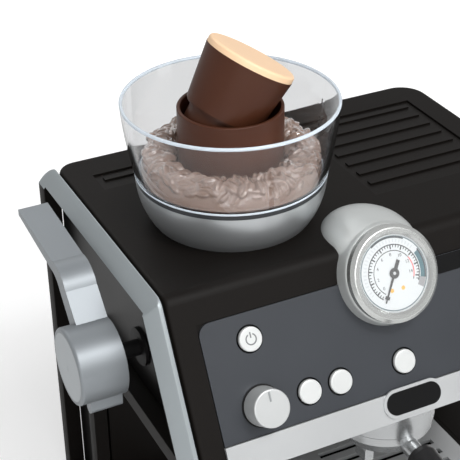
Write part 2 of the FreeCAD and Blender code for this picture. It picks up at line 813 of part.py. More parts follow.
def gauge():
    """Pressure gauge: pod, bezel ring, printed dial, clear lens and needle."""
    place = slope_place(down=mm.gauge_down)
    face = mm.gauge_proud
    pod = new_body("gauge_housing")
    shoulder = slope_sketch(pod, out=face - 3)
    circle(shoulder, sized(0), -mm.gauge_down, mm.bezel_radius)
    widest = front_y + mm.pod_length - mm.pod_dome
    low = top_z - 22
    middle = (top_z + mm.pod_rise + low) / 2
    half_height = (top_z + mm.pod_rise - low) / 2
    shell = new_sketch(pod, "XZ_Plane", lift=-widest)
    oval(shell, middle, mm.pod_half, half_height)
    body_loft(pod, shoulder, [shell])
    domes = []
    for turn in (25, 45, 62, 75, 84):
        share = math.cos(math.radians(turn))
        reach = mm.pod_dome * math.sin(math.radians(turn))
        ring = new_sketch(pod, "XZ_Plane", lift=-widest - reach)
        oval(ring, middle, mm.pod_half * share, half_height * share)
        domes.append(ring)
    body_loft(pod, shell, domes)
    collar = pod.newObject("PartDesign::Pad", "pod_collar")
    collar.Profile = shoulder
    bind(collar, "Length", mm.gauge_proud * 0.45)
    trim = new_sketch(pod, "YZ_Plane")
    rear = front_y + mm.pod_length + 8
    low = head_z - 10
    clear = mm.panel_thick - mm.panel_sunk + 0.1
    outline(
        trim,
        [
            (rear, top_z + 0.05),
            (slope_y(top_z, -clear), top_z + 0.05),
            (slope_y(low, -clear), low),
            (rear, low),
        ],
    )
    pocket(pod, trim, mm.bezel_radius * 2 + 20, symmetric=True)
    seat = slope_sketch(pod, out=face + 10)
    circle(seat, sized(0), -mm.gauge_down, mm.bezel_radius + 8)
    pocket(pod, seat, 13)
    well = slope_sketch(pod, out=face - 2)
    circle(well, sized(0), -mm.gauge_down, mm.dial_radius)
    pocket(pod, well, 3)
    ring = turned(
        "gauge_bezel",
        [
            (mm.dial_radius, face + 0.9),
            (mm.dial_radius + 1.2, face + mm.bezel_rise),
            (mm.bezel_radius - 2.2, face + mm.bezel_rise),
            (mm.bezel_radius - 0.4, face + 0.4),
            (mm.bezel_radius - 0.4, face - 3),
            (mm.dial_radius + 2.2, face - 3),
            (mm.dial_radius + 2.2, face + 0.9),
        ],
        **place,
    )
    soften(ring, 1, lambda edge: lies_at(edge, z=face + mm.bezel_rise) and edge.Length > 130)
    turned(
        "gauge_dial",
        [
            (sized(0), face - 3),
            (mm.dial_radius + 2, face - 3),
            (mm.dial_radius + 2, face),
            (sized(0), face),
        ],
        **place,
    )
    turned(
        "gauge_lens",
        [
            (sized(0), face + 0.7),
            (mm.dial_radius + 2, face + 0.7),
            (mm.dial_radius + 2, face + 0.9),
            (mm.dial_radius - 0.1, face + 0.9),
            (mm.dial_radius - 0.1, face + 1.3),
            (sized(0), face + 1.3),
        ],
        **place,
    )
    needle = new_body("gauge_needle", **slope_place(down=mm.gauge_down, out=face))
    hub = new_sketch(needle, "XY_Plane")
    circle(hub, sized(0), sized(0), 1.9)
    pad(needle, hub, 0.6)
    blade = new_sketch(needle, "XY_Plane", lift=0.1)
    reach_x, reach_y = -7.6, -12.6
    tail_x, tail_y = 3.4, 5.6
    outline(
        blade,
        [
            (tail_x - 0.7, tail_y + 0.42),
            (reach_x, reach_y),
            (tail_x + 0.7, tail_y - 0.42),
        ],
    )
    pad(needle, blade, 0.4)


def oval(sketch, middle, reach, half_height):
    """An oval of four arcs about X = 0, as wide as twice reach and as high as twice half_height."""
    width, height = sized(reach).value, sized(half_height).value
    bulge = math.hypot(width, height) * 0.207
    quarters = [(reach, middle), (sized(0), middle + half_height)]
    quarters += [(-reach, middle), (sized(0), middle - half_height)]
    outline(sketch, [(x, y, bulge) for x, y in quarters])


def body_loft(body, first, others):
    """A loft from one sketch through the others."""
    loft = body.newObject("PartDesign::AdditiveLoft", f"{body.Name}_loft")
    loft.Profile = first
    loft.Sections = others
    return loft


def hopper():
    """Bean hopper: silver base, dark seal, clear bowl, bean insert and the collar through its middle."""
    place = {"x": mm.hopper_x, "y": mm.hopper_y, "z": top_z}
    bore = mm.collar_radius + mm.fit_gap
    high = mm.hopper_base_height
    turned(
        "hopper_base",
        [
            (bore, sized(0)),
            (mm.hopper_foot, sized(0)),
            (mm.hopper_waist, high, 1.6),
            (mm.hopper_waist - 3, high),
            (mm.hopper_waist - 4, high - 3),
            (mm.hopper_foot - 2.5, sized(2.5)),
            (bore, sized(2.5)),
        ],
        **place,
    )
    seal_top = high + mm.seal_height
    turned(
        "seal_ring",
        [
            (mm.hopper_waist - 2.4, high),
            (mm.hopper_waist - 0.2, high),
            (mm.hopper_waist - 0.2, seal_top),
            (mm.hopper_waist - 2.4, seal_top),
        ],
        **place,
    )
    wall = mm.bowl_wall
    bowl = turned(
        "hopper_bowl",
        [
            (bore, seal_top),
            (mm.hopper_waist, seal_top),
            (mm.bowl_rim, mm.bowl_top, 0.8),
            (mm.bowl_rim - wall, mm.bowl_top),
            (mm.hopper_waist - wall, seal_top + wall, -0.8),
            (bore, seal_top + wall),
        ],
        **place,
    )
    soften(bowl, 0.6, lambda edge: lies_at(edge, z=mm.bowl_top))
    low = seal_top + wall
    turned(
        "bean_insert",
        [
            (bore, low),
            (mm.hopper_waist - wall - 1, low),
            (mm.hopper_waist - wall - 1.2, low + 7, 1),
            (bore + 3, low + 13, 2.5),
            (bore, low + 12),
        ],
        **place,
    )
    collar = turned(
        "chute_collar",
        [
            (collar_bore, -mm.chute_drop),
            (mm.collar_radius, -mm.chute_drop),
            (mm.collar_radius, mm.collar_top),
            (collar_bore, mm.collar_top),
        ],
        **place,
    )
    soften(collar, 0.6, lambda edge: lies_at(edge, z=mm.collar_top))


def coffee_plug():
    """Tapered brown plug with a stepped foot and a cream cap, leaning in the collar."""
    place = plug_place()
    taper = Size(math.tan(math.radians(mm.plug_taper.value)), f"tan({mm.plug_taper.formula} * 1 deg)")
    low = mm.plug_top - mm.plug_length * taper
    foot = mm.plug_foot_length
    body = turned(
        "plug_body",
        [
            (sized(0), sized(0)),
            (mm.plug_foot, sized(0)),
            (mm.plug_foot, foot),
            (low - 0.8, foot),
            (low - 0.8, foot + 1),
            (low, foot + 1),
            (mm.plug_top, foot + mm.plug_length),
            (sized(0), foot + mm.plug_length),
        ],
        **place,
    )
    soften(body, 1, lambda edge: lies_at(edge, z=0))
    height = foot + mm.plug_length
    cap = turned(
        "plug_cap",
        [
            (sized(0), height),
            (mm.plug_top - 0.2, height),
            (mm.plug_top - 0.2, height + mm.plug_cap_thick),
            (sized(0), height + mm.plug_cap_thick),
        ],
        **place,
    )
    soften(cap, 1.4, lambda edge: lies_at(edge, z=height + mm.plug_cap_thick))


def plug_place():
    """The plug leans on the collar's rim, with its foot inside."""
    return {
        "x": mm.hopper_x + mm.plug_seat_x,
        "y": mm.hopper_y + mm.plug_seat_y,
        "z": top_z + mm.plug_seat_z,
        "axis": (0.03, 1, 0),
        "angle": mm.plug_lean,
    }


def lever():
    """Grinder lever on the left: bent arm, round hub, end cap, stop rib and shaft."""
    arm = new_body("lever_arm")
    side = new_sketch(arm, "YZ_Plane", lift=-hub_inside)
    circle(side, mm.hub_y, mm.hub_z, mm.hub_radius)
    pad(arm, side, mm.hub_length, backwards=True)
    soften(arm, 1.5, lambda edge: lies_at(edge, x=-hub_outside))
    blade = new_sketch(arm, "YZ_Plane", lift=-hub_inside)
    y, z = mm.hub_y, mm.hub_z
    outline(
        blade,
        [
            (y + 82.4, z + 37.0),
            (y + 82.4, z + 40.2),
            (y + 33.4, z + 37.1),
            (y + 16.4, z + 30.0, 3.1),
            (y - 2.0, z + 11.0),
            (y + 10.0, z + 8.0),
            (y + 25.5, z + 25.5),
            (y + 36.4, z + 31.4, -1.8),
        ],
    )
    pad(arm, blade, mm.arm_width, backwards=True)
    rib = new_sketch(arm, "YZ_Plane", lift=-hub_inside)
    outline(
        rib,
        [
            (y - 8.2, z - 15.0),
            (y - 8.2, z - 22.6),
            (y - 2.6, z - 23.6, 2.2),
            (y - 2.6, z - 16.0),
        ],
    )
    pad(arm, rib, mm.hub_length * 0.7, backwards=True)
    bore = new_sketch(arm, "YZ_Plane", lift=-hub_inside)
    circle(bore, y, z, mm.shaft_radius)
    pocket(arm, bore, mm.hub_length * 0.6, backwards=False)
    well = new_sketch(arm, "YZ_Plane", lift=-hub_outside)
    circle(well, y, z, mm.hub_radius - 2.2)
    pocket(arm, well, 1.2, backwards=True)
    turned(
        "lever_end_cap",
        [
            (sized(0), sized(0)),
            (mm.hub_radius - 2.3, sized(0)),
            (mm.hub_radius - 2.3, sized(1.2)),
            (sized(0), sized(1.5)),
        ],
        x=1.2 - hub_outside,
        y=y,
        z=z,
        axis=(0, -1, 0),
        angle=90,
    )
    shaft_reach = hub_inside + mm.hub_length * 0.6
    turned(
        "lever_shaft",
        [
            (sized(0), sized(0)),
            (mm.shaft_radius, sized(0)),
            (mm.shaft_radius, shaft_reach - gear_inner_x()),
            (sized(0), shaft_reach - gear_inner_x()),
        ],
        x=-gear_inner_x(),
        y=y,
        z=z,
        axis=(0, -1, 0),
        angle=90,
    )
    flange = bush_radius() + 2.5
    bore_radius = mm.shaft_radius + mm.running_gap
    turned(
        "lever_bush",
        [
            (bore_radius, sized(0)),
            (bush_radius(), sized(0)),
            (bush_radius(), mm.side_wall),
            (flange, mm.side_wall),
            (flange, mm.side_wall + 1.5),
            (bore_radius, mm.side_wall + 1.5),
        ],
        x=mm.side_wall - half_width,
        y=y,
        z=z,
        axis=(0, -1, 0),
        angle=90,
    )


def gear_inner_x():
    """Distance from the middle to the inner end of the lever shaft."""
    return -mm.hopper_x + mm.collar_radius + 3.5


def gear_outer_x():
    return gear_inner_x() + 6 + mm.gear_width


def tooth_outline():
    """The flat outline of one gear as rings of points, teeth drawn as short flats."""
    teeth = int(mm.gear_teeth.value)
    root = gear_pitch - 1.2 * mm.gear_module
    tip = gear_pitch + 0.95 * mm.gear_module
    points = []
    for number in range(teeth):
        for share, radius in ((-0.36, root), (-0.22, gear_pitch), (-0.09, tip)):
            points.append((number + share, radius))
        for share, radius in ((0.09, tip), (0.22, gear_pitch), (0.36, root)):
            points.append((number + share, radius))
    return points


def gear(label, z, phase, bore):
    """A spur gear about X; phase turns it by a share of one tooth."""
    body = new_body(label, x=-gear_outer_x(), y=mm.hub_y, z=z, axis=(0, 1, 0), angle=90)
    sketch = new_sketch(body, "XY_Plane")
    points = []
    for turn, radius in tooth_outline():
        angle = Size((turn + phase) * 360 / mm.gear_teeth.value, f"({turn + phase!r} * 360 / {mm.gear_teeth.formula})")
        points.append((radius * cosine(angle), radius * sine(angle)))
    outline(sketch, points)
    circle(sketch, sized(0), sized(0), bore)
    pad(body, sketch, mm.gear_width)


def mechanism():
    """Gear pair from the lever shaft to the trap flap under the chute, and the plate that carries it."""
    gear("drive_gear", mm.hub_z, 0.0, mm.shaft_radius)
    gear("flap_gear", flap_z, 0.5 if int(mm.gear_teeth.value) % 2 == 0 else 0.0, mm.flap_shaft_radius)
    flap_left = -mm.hopper_x + mm.collar_radius
    flap_right = -mm.hopper_x - mm.collar_radius
    shaft_left = gear_outer_x() + 4
    turned(
        "flap_shaft",
        [
            (sized(0), sized(0)),
            (mm.flap_shaft_radius, sized(0)),
            (mm.flap_shaft_radius, shaft_left - flap_right + 8),
            (sized(0), shaft_left - flap_right + 8),
        ],
        x=-flap_right + 8,
        y=mm.hub_y,
        z=flap_z,
        axis=(0, -1, 0),
        angle=90,
    )
    flap = new_body("chute_flap")
    top = chute_bottom - mm.fit_gap
    low = top - mm.flap_thick
    ear = mm.flap_shaft_radius + 2
    y = mm.hub_y
    far = mm.hopper_y + mm.collar_radius - 1
    side = new_sketch(flap, "YZ_Plane", lift=mm.hopper_x)
    outline(
        side,
        [
            (y + ear, flap_z, ear * (1 - math.sqrt(0.5))),
            (y + ear, low),
            (far, low),
            (far, top),
            (y, top),
            (y - ear, flap_z),
            (y, flap_z - ear, ear * (1 - math.sqrt(0.5))),
        ],
    )
    pad(flap, side, mm.collar_radius * 2 - 1, symmetric=True)
    bore = new_sketch(flap, "YZ_Plane", lift=mm.hopper_x)
    circle(bore, y, flap_z, mm.flap_shaft_radius)
    pocket(flap, bore, mm.collar_radius * 2 + 4, symmetric=True)
    frame = new_body("gear_frame")
    for x in (gear_inner_x() + 1.2, gear_outer_x() + 2):
        plate = new_sketch(frame, "YZ_Plane", lift=-x)
        box_outline(plate, y - 14, head_z + mm.wall, y + 14, mm.hub_z + 12)
        circle(plate, y, mm.hub_z, mm.shaft_radius + mm.running_gap)
        circle(plate, y, flap_z, mm.flap_shaft_radius + mm.running_gap)
        pad(frame, plate, 2)
    foot = new_sketch(frame, "XY_Plane", lift=mm.hub_z + 12)
    box_outline(foot, -gear_outer_x() - 2, y - 14, 2 - gear_inner_x() - 1.2, y + 14)
    pad(frame, foot, 2)


def group_head():
    """Group head under the ceiling, held by a stem, and the gasket that the portafilter meets."""
    place = {"y": -mm.group_reach, "z": head_z}
    inner = group_bore()
    turned(
        "group_head",
        [
            (sized(0), -mm.group_roof),
            (inner, -mm.group_roof),
            (inner, -mm.group_drop),
            (mm.group_radius, -mm.group_drop),
            (mm.group_radius, -mm.bar_thick - 0.6),
            (mm.group_stem, -mm.bar_thick - 0.6),
            (mm.group_stem, mm.wall + 2),
            (sized(0), mm.wall + 2),
        ],
        **place,
    )
    gasket_low = -mm.group_roof - mm.gasket_thick
    turned(
        "group_gasket",
        [
            (inner - 5, gasket_low),
            (inner - 0.1, gasket_low),
            (inner - 0.1, -mm.group_roof),
            (inner - 5, -mm.group_roof),
        ],
        **place,
    )


def group_bore():
    return mm.group_radius - 3.5


def portafilter():
    """Portafilter: cup, perforated-style basket, twin spouts and handle."""
    place = {"y": -mm.group_reach, "z": head_z}
    rim = -mm.group_roof - mm.gasket_thick - mm.fit_gap
    cup = group_bore() - mm.fit_gap
    drop = mm.group_drop
    head = turned(
        "portafilter_head",
        [
            (sized(0), -drop - 15),
            (sized(5), -drop - 15),
            (cup - 2, -drop - 13, 0.8),
            (mm.group_radius - 0.5, -drop - 5),
            (mm.group_radius - 0.5, -drop - 0.6),
            (cup, -drop - 0.6),
            (cup, rim),
            (cup - 2.5, rim),
            (cup - 4.5, -drop - 10),
            (sized(0), -drop - 12),
        ],
        **place,
    )
    neck = new_sketch(head, "XZ_Plane", lift=mm.group_radius - 3)
    circle(neck, sized(0), -drop - 6.5, 4.5)
    pad(head, neck, 12)
    turned(
        "filter_basket",
        [
            (sized(0), -drop - 9),
            (cup - 5.6, -drop - 9),
            (cup - 5.6, -drop - 6),
            (cup - 2.8, rim),
            (cup - 3.8, rim),
            (cup - 6.6, -drop - 6),
            (cup - 6.6, -drop - 8),
            (sized(0), -drop - 8),
        ],
        **place,
    )
    spouts = new_body("portafilter_spouts", y=-mm.group_reach, z=head_z - drop - 15.1)
    block = new_sketch(spouts, "XZ_Plane")
    outline(
        block,
        [
            (sized(-4), sized(0)),
            (sized(-12), sized(-6), 1.2),
            (sized(-12), sized(-13)),
            (sized(-7), sized(-13)),
            (sized(-7), sized(-8.5)),
            (sized(7), sized(-8.5), -3.5),
            (sized(7), sized(-13)),
            (sized(12), sized(-13)),
            (sized(12), sized(-6)),
            (sized(4), sized(0), 1.2),
        ],
    )
    pad(spouts, block, 9, symmetric=True)
    length = mm.handle_length
    grip = turned(
        "portafilter_handle",
        [
            (sized(0), sized(0)),
            (sized(7.5), sized(0)),
            (sized(8), sized(3)),
            (sized(7), length * 0.4, -0.6),
            (sized(9), length * 0.85, -0.6),
            (sized(6), length, 1.6),
            (sized(0), length),
        ],
        y=-mm.group_reach - mm.group_radius - 9,
        z=head_z - drop - 6.5,
        axis=(1, 0, 0),
        angle=90,
    )
    soften(grip, 1, lambda edge: lies_at(edge, z=length))


def steam_wand():
    """Steam wand that swivels in a collar at the right, with a rubber grip and a tip."""
    place = {"x": mm.wand_x, "y": -mm.wand_reach, "z": head_z}
    radius = mm.wand_radius
    roof = mm.wall + 0.5
    turned(
        "wand_mount",
        [
            (radius + mm.running_gap, sized(-6)),
            (sized(8), sized(-6)),
            (sized(9.5), -mm.fit_gap),
            (sized(6), -mm.fit_gap),
            (sized(6), roof),
            (radius + mm.running_gap, roof),
        ],
        **place,
    )
    wand = new_body("steam_wand", **place)
    start = roof + 2.5
    head = new_sketch(wand, "XY_Plane", lift=roof + mm.fit_gap)
    circle(head, sized(0), sized(0), 5.5)
    pad(wand, head, 2.2)
    bend = mm.wand_bend
    lean_sin = sine(mm.wand_lean)
    lean_cos = cosine(mm.wand_lean)
    arc_y = -bend * (1 - lean_cos)
    arc_z = -mm.wand_upper - bend * lean_sin
    end_y = arc_y - mm.wand_lower * lean_sin
    end_z = arc_z - mm.wand_lower * lean_cos
    spine = new_sketch(wand, "YZ_Plane")
    sagitta = bend * (1 - cosine(mm.wand_lean / 2))
    outline(
        spine,
        [(sized(0), start), (sized(0), -mm.wand_upper), (arc_y, arc_z, -sagitta), (end_y, end_z)],
        closed=False,
    )
    section = new_sketch(wand, "XY_Plane", lift=start)
    circle(section, sized(0), sized(0), radius)
    pipe = wand.newObject("PartDesign::AdditivePipe", "steam_wand_pipe")
    pipe.Profile = section
    pipe.Spine = (spine, ["Edge1", "Edge2", "Edge3"])
    turned(
        "wand_grip",
        [
            (radius, sized(-20)),
            (sized(5.6), sized(-20)),
            (sized(6.2), sized(-14)),
            (sized(5.6), sized(-8)),
            (radius, sized(-8)),
        ],
        **place,
    )


def drip_tray():
    """Drawer-like drip tray and the slotted grille that lies in its rim."""
    body = new_body("drip_tray")
    front = base_front - mm.tray_proud
    half = mm.tray_half
    block = new_sketch(body, "XY_Plane", lift=mm.tray_floor)
    box_outline(block, -half, front, half, -mm.tray_rear)
    pad(body, block, mm.base_height - mm.tray_floor)
    soften(body, 4, lambda edge: lies_at(edge, y=front) and edge.BoundBox.ZLength > 10)
    seat = new_sketch(body, "XY_Plane", lift=mm.base_height)
    rim = mm.tray_wall
    box_outline(seat, rim - half, front + rim, half - rim, -mm.tray_rear - rim)
    pocket(body, seat, mm.grille_thick)
    well = new_sketch(body, "XY_Plane", lift=mm.base_height)
    rim = mm.tray_wall * 2.5
    box_outline(well, rim - half, front + rim, half - rim, -mm.tray_rear - rim)
    pocket(body, well, mm.base_height - mm.tray_floor - mm.tray_wall)
    notch = new_sketch(body, "XZ_Plane", lift=-front)
    outline(notch, [(sized(-22), mm.base_height - 8), (sized(22), mm.base_height - 8, -4)])
    pocket(body, notch, 3, backwards=False)
    grille = new_body("drip_grille")
    plate = new_sketch(grille, "XY_Plane", lift=mm.base_height - mm.grille_thick)
    edge = mm.tray_wall + mm.fit_gap
    low, high = front + edge, -mm.tray_rear - edge
    box_outline(plate, edge - half, low, half - edge, high)
    count = int((high.value - low.value - 14) / mm.slot_pitch.value) + 1
    for number in range(count):
        slot = low + 9 + number * mm.slot_pitch
        for side_x in (-1, 1):
            inner, outer = side_x * sized(5), side_x * (half - 14)
            box_outline(plate, inner, slot, outer, slot + mm.slot_width)
    pad(grille, plate, mm.grille_thick - 0.3)


def underside():
    """Base plate with the battery compartment, its door, the cells and their contacts, and the feet."""
    gap = mm.fit_gap
    low = mm.foot_height
    plate = new_body("base_plate")
    shape = new_sketch(plate, "XY_Plane", lift=low)
    half = inside_half - gap
    box_outline(shape, -half, column_inside + gap, half, rear_y - mm.wall - gap)
    box_outline(shape, -cell_half(), cells_y(-1), cell_half(), cells_y(1))
    pad(plate, shape, mm.base_plate_thick)
    soften(plate, 12, lambda edge: lies_at(edge, y=rear_y - mm.wall - gap) and edge.BoundBox.XLength < 1)
    top = low + mm.base_plate_thick
    box = new_body("battery_box")
    walls = new_sketch(box, "XY_Plane", lift=top)
    rim = mm.box_wall
    box_outline(walls, -cell_half() - rim, cells_y(-1) - rim, cell_half() + rim, cells_y(1) + rim)
    pad(box, walls, mm.cell_radius * 2 + 1 + rim)
    inside = new_sketch(box, "XY_Plane", lift=top)
    box_outline(inside, -cell_half(), cells_y(-1), cell_half(), cells_y(1))
    pocket(box, inside, mm.cell_radius * 2 + 1, backwards=True)
    cells = new_body("batteries", z=top + 0.4 + mm.cell_radius)
    ends = new_sketch(cells, "YZ_Plane", lift=-mm.cell_length / 2)
    nubs = new_sketch(cells, "YZ_Plane", lift=mm.cell_length / 2)
    for number in (-1, 0, 1):
        y = cells_middle() + number * cell_pitch()
        circle(ends, y, sized(0), mm.cell_radius)
        circle(nubs, y, sized(0), 2.7)
    pad(cells, ends, mm.cell_length)
    pad(cells, nubs, 1)
    contacts = new_body("battery_contacts", z=top + 0.4 + mm.cell_radius)
    for side_x in (-1, 1):
        strip = new_sketch(contacts, "YZ_Plane", lift=side_x * (cell_half() - 0.6))
        for number in (-1, 0, 1):
            y = cells_middle() + number * cell_pitch()
            box_outline(strip, y - 4, sized(-4), y + 4, sized(4))
        pad(contacts, strip, 0.5, backwards=side_x < 0)
    door = new_body("battery_door")
    shape = new_sketch(door, "XY_Plane", lift=low)
    box_outline(shape, gap - cell_half(), cells_y(-1) + gap, cell_half() - gap, cells_y(1) - gap)
    circle(shape, sized(0), cells_y(1) - 5, 1.6)
    pad(door, shape, 2.4)
    screw = new_body("battery_door_screw", y=cells_y(1) - 5, z=low)
    circle_shape = new_sketch(screw, "XY_Plane")
    circle(circle_shape, sized(0), sized(0), 1.5)
    pad(screw, circle_shape, 2.6)
    head = new_sketch(screw, "XY_Plane")
    circle(head, sized(0), sized(0), 2.8)
    pad(screw, head, 1, backwards=True)
    feet = new_body("rubber_feet")
    pads = new_sketch(feet, "XY_Plane")
    for side_x in (-1, 1):
        circle(pads, side_x * mm.foot_x, base_front + mm.foot_inset, mm.foot_radius)
        circle(pads, side_x * mm.foot_x, rear_y - mm.foot_inset - 4, mm.foot_radius)
    pad(feet, pads, mm.foot_height)


def cell_half():
    """Half the inside length of the battery compartment."""
    return mm.cell_length / 2 + 2.2


def cell_pitch():
    return mm.cell_radius * 2 + 0.5


def cells_middle():
    return (column_inside + rear_y - mm.wall) / 2


def cells_y(side):
    """The front or rear inside face of the battery compartment."""
    return cells_middle() + side * (cell_pitch() + mm.cell_radius + 0.6)


def speaker():
    """Loudspeaker behind the slots of the rear cover."""
    body = turned(
        "speaker",
        [
            (sized(0), sized(4)),
            (sized(8), sized(4)),
            (sized(17), sized(0)),
            (sized(20), sized(0)),
            (sized(20), sized(2)),
            (sized(17), sized(3)),
            (sized(12), sized(8)),
            (sized(12), sized(14)),
            (sized(0), sized(14)),
        ],
        y=rear_y - mm.wall,
        z=speaker_z(),
        axis=(1, 0, 0),
        angle=90,
    )
    return body


def indicator_window():
    """Glossy dark window at the top of the panel, from the gauge towards the right-hand edge."""
    body = new_body("indicator_window", **slope_place(out=mm.panel_thick - mm.panel_sunk))
    shape = new_sketch(body, "XY_Plane")
    box_outline(shape, mm.window_left, -mm.window_bottom, mm.window_right, -mm.window_top)
    pad(body, shape, 0.6)
    soften(body, 3, lambda edge: edge.BoundBox.ZLength > 0.5)


def export():
    """Checks every object, then writes each piece to parts/."""
    doc.recompute()
    for item in doc.Objects:
        if "Invalid" in item.State or "Error" in item.State:
            raise RuntimeError(f"{item.Name} ({item.Label}) did not rebuild: {item.State}")
    pieces = [item for item in doc.Objects if item.TypeId == "PartDesign::Body"]
    for piece in pieces:
        if piece.Shape.isNull() or not piece.Shape.isValid() or not piece.Shape.Solids:
            raise RuntimeError(f"{piece.Label} has no valid shape")
    os.makedirs("parts", exist_ok=True)
    for piece in pieces:
        piece.Shape.exportStep(os.path.join("parts", f"{piece.Label}.step"))
    print(len(pieces), "pieces")


main_housing()
rear_cover()
screws()
side_panel("left_side_panel", -1)
side_panel("right_side_panel", 1)
trim_frame()
cup_rest()
control_panel()
brew_bar()
badge()
buttons()
knobs()
circuit_board()
gauge()
hopper()
coffee_plug()
lever()
mechanism()
group_head()
portafilter()
steam_wand()
drip_tray()
underside()
speaker()
indicator_window()
export()
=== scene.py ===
import json
import math
import random

import bpy
from mathutils import Matrix, Vector

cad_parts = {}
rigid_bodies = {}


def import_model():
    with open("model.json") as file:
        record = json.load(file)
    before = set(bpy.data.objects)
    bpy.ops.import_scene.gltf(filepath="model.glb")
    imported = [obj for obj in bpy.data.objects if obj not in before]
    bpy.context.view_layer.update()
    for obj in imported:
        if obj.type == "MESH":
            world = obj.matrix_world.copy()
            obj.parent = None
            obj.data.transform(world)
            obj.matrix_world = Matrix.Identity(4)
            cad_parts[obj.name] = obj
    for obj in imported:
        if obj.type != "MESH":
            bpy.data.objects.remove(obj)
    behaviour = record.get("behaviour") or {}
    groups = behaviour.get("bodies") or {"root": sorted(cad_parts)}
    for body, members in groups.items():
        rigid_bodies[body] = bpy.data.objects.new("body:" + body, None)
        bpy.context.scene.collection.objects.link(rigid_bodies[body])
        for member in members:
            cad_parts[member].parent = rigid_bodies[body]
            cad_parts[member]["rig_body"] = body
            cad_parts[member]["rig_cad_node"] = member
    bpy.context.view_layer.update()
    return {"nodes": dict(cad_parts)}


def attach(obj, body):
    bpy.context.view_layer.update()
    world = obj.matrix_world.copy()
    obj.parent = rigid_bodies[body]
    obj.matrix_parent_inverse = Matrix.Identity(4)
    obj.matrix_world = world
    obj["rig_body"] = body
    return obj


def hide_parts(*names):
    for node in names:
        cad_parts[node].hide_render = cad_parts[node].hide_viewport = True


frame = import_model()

# Main casing: one black styrene moulding that holds everything else.
# Its skin has a fine spark grain, and the gloss is a little uneven where hands rub it.


def tone(red, green, blue):
    """A colour named by its eye values from 0 to 255, as the shader wants it."""
    dark_end = 10
    dark_scale = 3295
    linear = []
    for value in (red, green, blue):
        if value > dark_end:
            linear.append(((value / 255 + 0.055) / 1.055) ** 2.4)
        else:
            linear.append(value / dark_scale)
    return linear + [1]


def moulded(
    name, colour, rough, grain=900, depth=0.00004, metal=0.0, specular=0.5, mottle=0.08, coat=0.0
):
    """Moulded or painted plastic: cloudy colour, uneven gloss and a fine raised grain."""
    rubbed = 0.04
    dulled = 0.06
    material = bpy.data.materials.new(name)
    material.use_nodes = True
    nodes, links = material.node_tree.nodes, material.node_tree.links
    shader = nodes["Principled BSDF"]
    place = nodes.new("ShaderNodeTexCoord")
    cloud = nodes.new("ShaderNodeTexNoise")
    cloud.inputs["Scale"].default_value = 22
    cloud.inputs["Detail"].default_value = 5
    links.new(place.outputs["Object"], cloud.inputs["Vector"])
    shade = nodes.new("ShaderNodeValToRGB")
    shade.color_ramp.elements[0].position = 0.3
    shade.color_ramp.elements[1].position = 0.7
    shade.color_ramp.elements[0].color = [part * (1 - mottle) for part in colour[:3]] + [1]
    shade.color_ramp.elements[1].color = [min(1, part * (1 + mottle)) for part in colour[:3]] + [1]
    links.new(cloud.outputs["Fac"], shade.inputs["Fac"])
    links.new(shade.outputs["Color"], shader.inputs["Base Color"])
    gloss = nodes.new("ShaderNodeMapRange")
    gloss.inputs["To Min"].default_value = rough - rubbed
    gloss.inputs["To Max"].default_value = rough + dulled
    links.new(cloud.outputs["Fac"], gloss.inputs["Value"])
    links.new(gloss.outputs["Result"], shader.inputs["Roughness"])
    speckle = nodes.new("ShaderNodeTexNoise")
    speckle.inputs["Scale"].default_value = grain
    speckle.inputs["Detail"].default_value = 2
    links.new(place.outputs["Object"], speckle.inputs["Vector"])
    relief = nodes.new("ShaderNodeBump")
    relief.inputs["Strength"].default_value = 0.5
    relief.inputs["Distance"].default_value = depth
    links.new(speckle.outputs["Fac"], relief.inputs["Height"])
    links.new(relief.outputs["Normal"], shader.inputs["Normal"])
    shader.inputs["Metallic"].default_value = metal
    shader.inputs["Specular IOR Level"].default_value = specular
    shader.inputs["Coat Weight"].default_value = coat
    shader.inputs["Coat Roughness"].default_value = 0.12
    return material


def dress(material, *names):
    """Puts one finish on whole moulded parts."""
    for name in names:
        finishes = frame["nodes"][name].data.materials
        finishes.clear()
        finishes.append(material)


casing_black = moulded("casing_black", tone(20, 17, 15), 0.5, depth=0.00005, specular=0.12)
dress(casing_black, "main_housing", "rear_cover")

# Cup rest on the flat top: a ribbed black tray pressed into its recess.
# It is the same plastic, a shade glossier where warmed cups stand.
rest_black = moulded("rest_black", tone(19, 16, 14), 0.42, specular=0.14)
dress(rest_black, "cup_rest")

# Side panels: polished black sheets sunk under the trim on the left and in the right wall.
# They are clipped in from inside and pick up soft reflections.
panel_black = moulded("side_panel_black", tone(13, 12, 12), 0.3, grain=300, depth=0.00001, specular=0.12)
dress(panel_black, "left_side_panel", "right_side_panel")

# Left trim frame: a surround whose top and front edges carry a bevelled band sprayed in aluminium paint.
# The faces that look up, out of the slope, back and forward at the foot are silver; the frame's side and
# inner faces are black, painted shade for the dark recess under the band.


def sprayed(name, colour, rough, metal, grain=2400, mottle=0.03):
    """Plastic sprayed in silver: a fine flake under a satin lacquer."""
    return moulded(name, colour, rough, grain=grain, depth=0.00002, metal=metal, mottle=mottle)


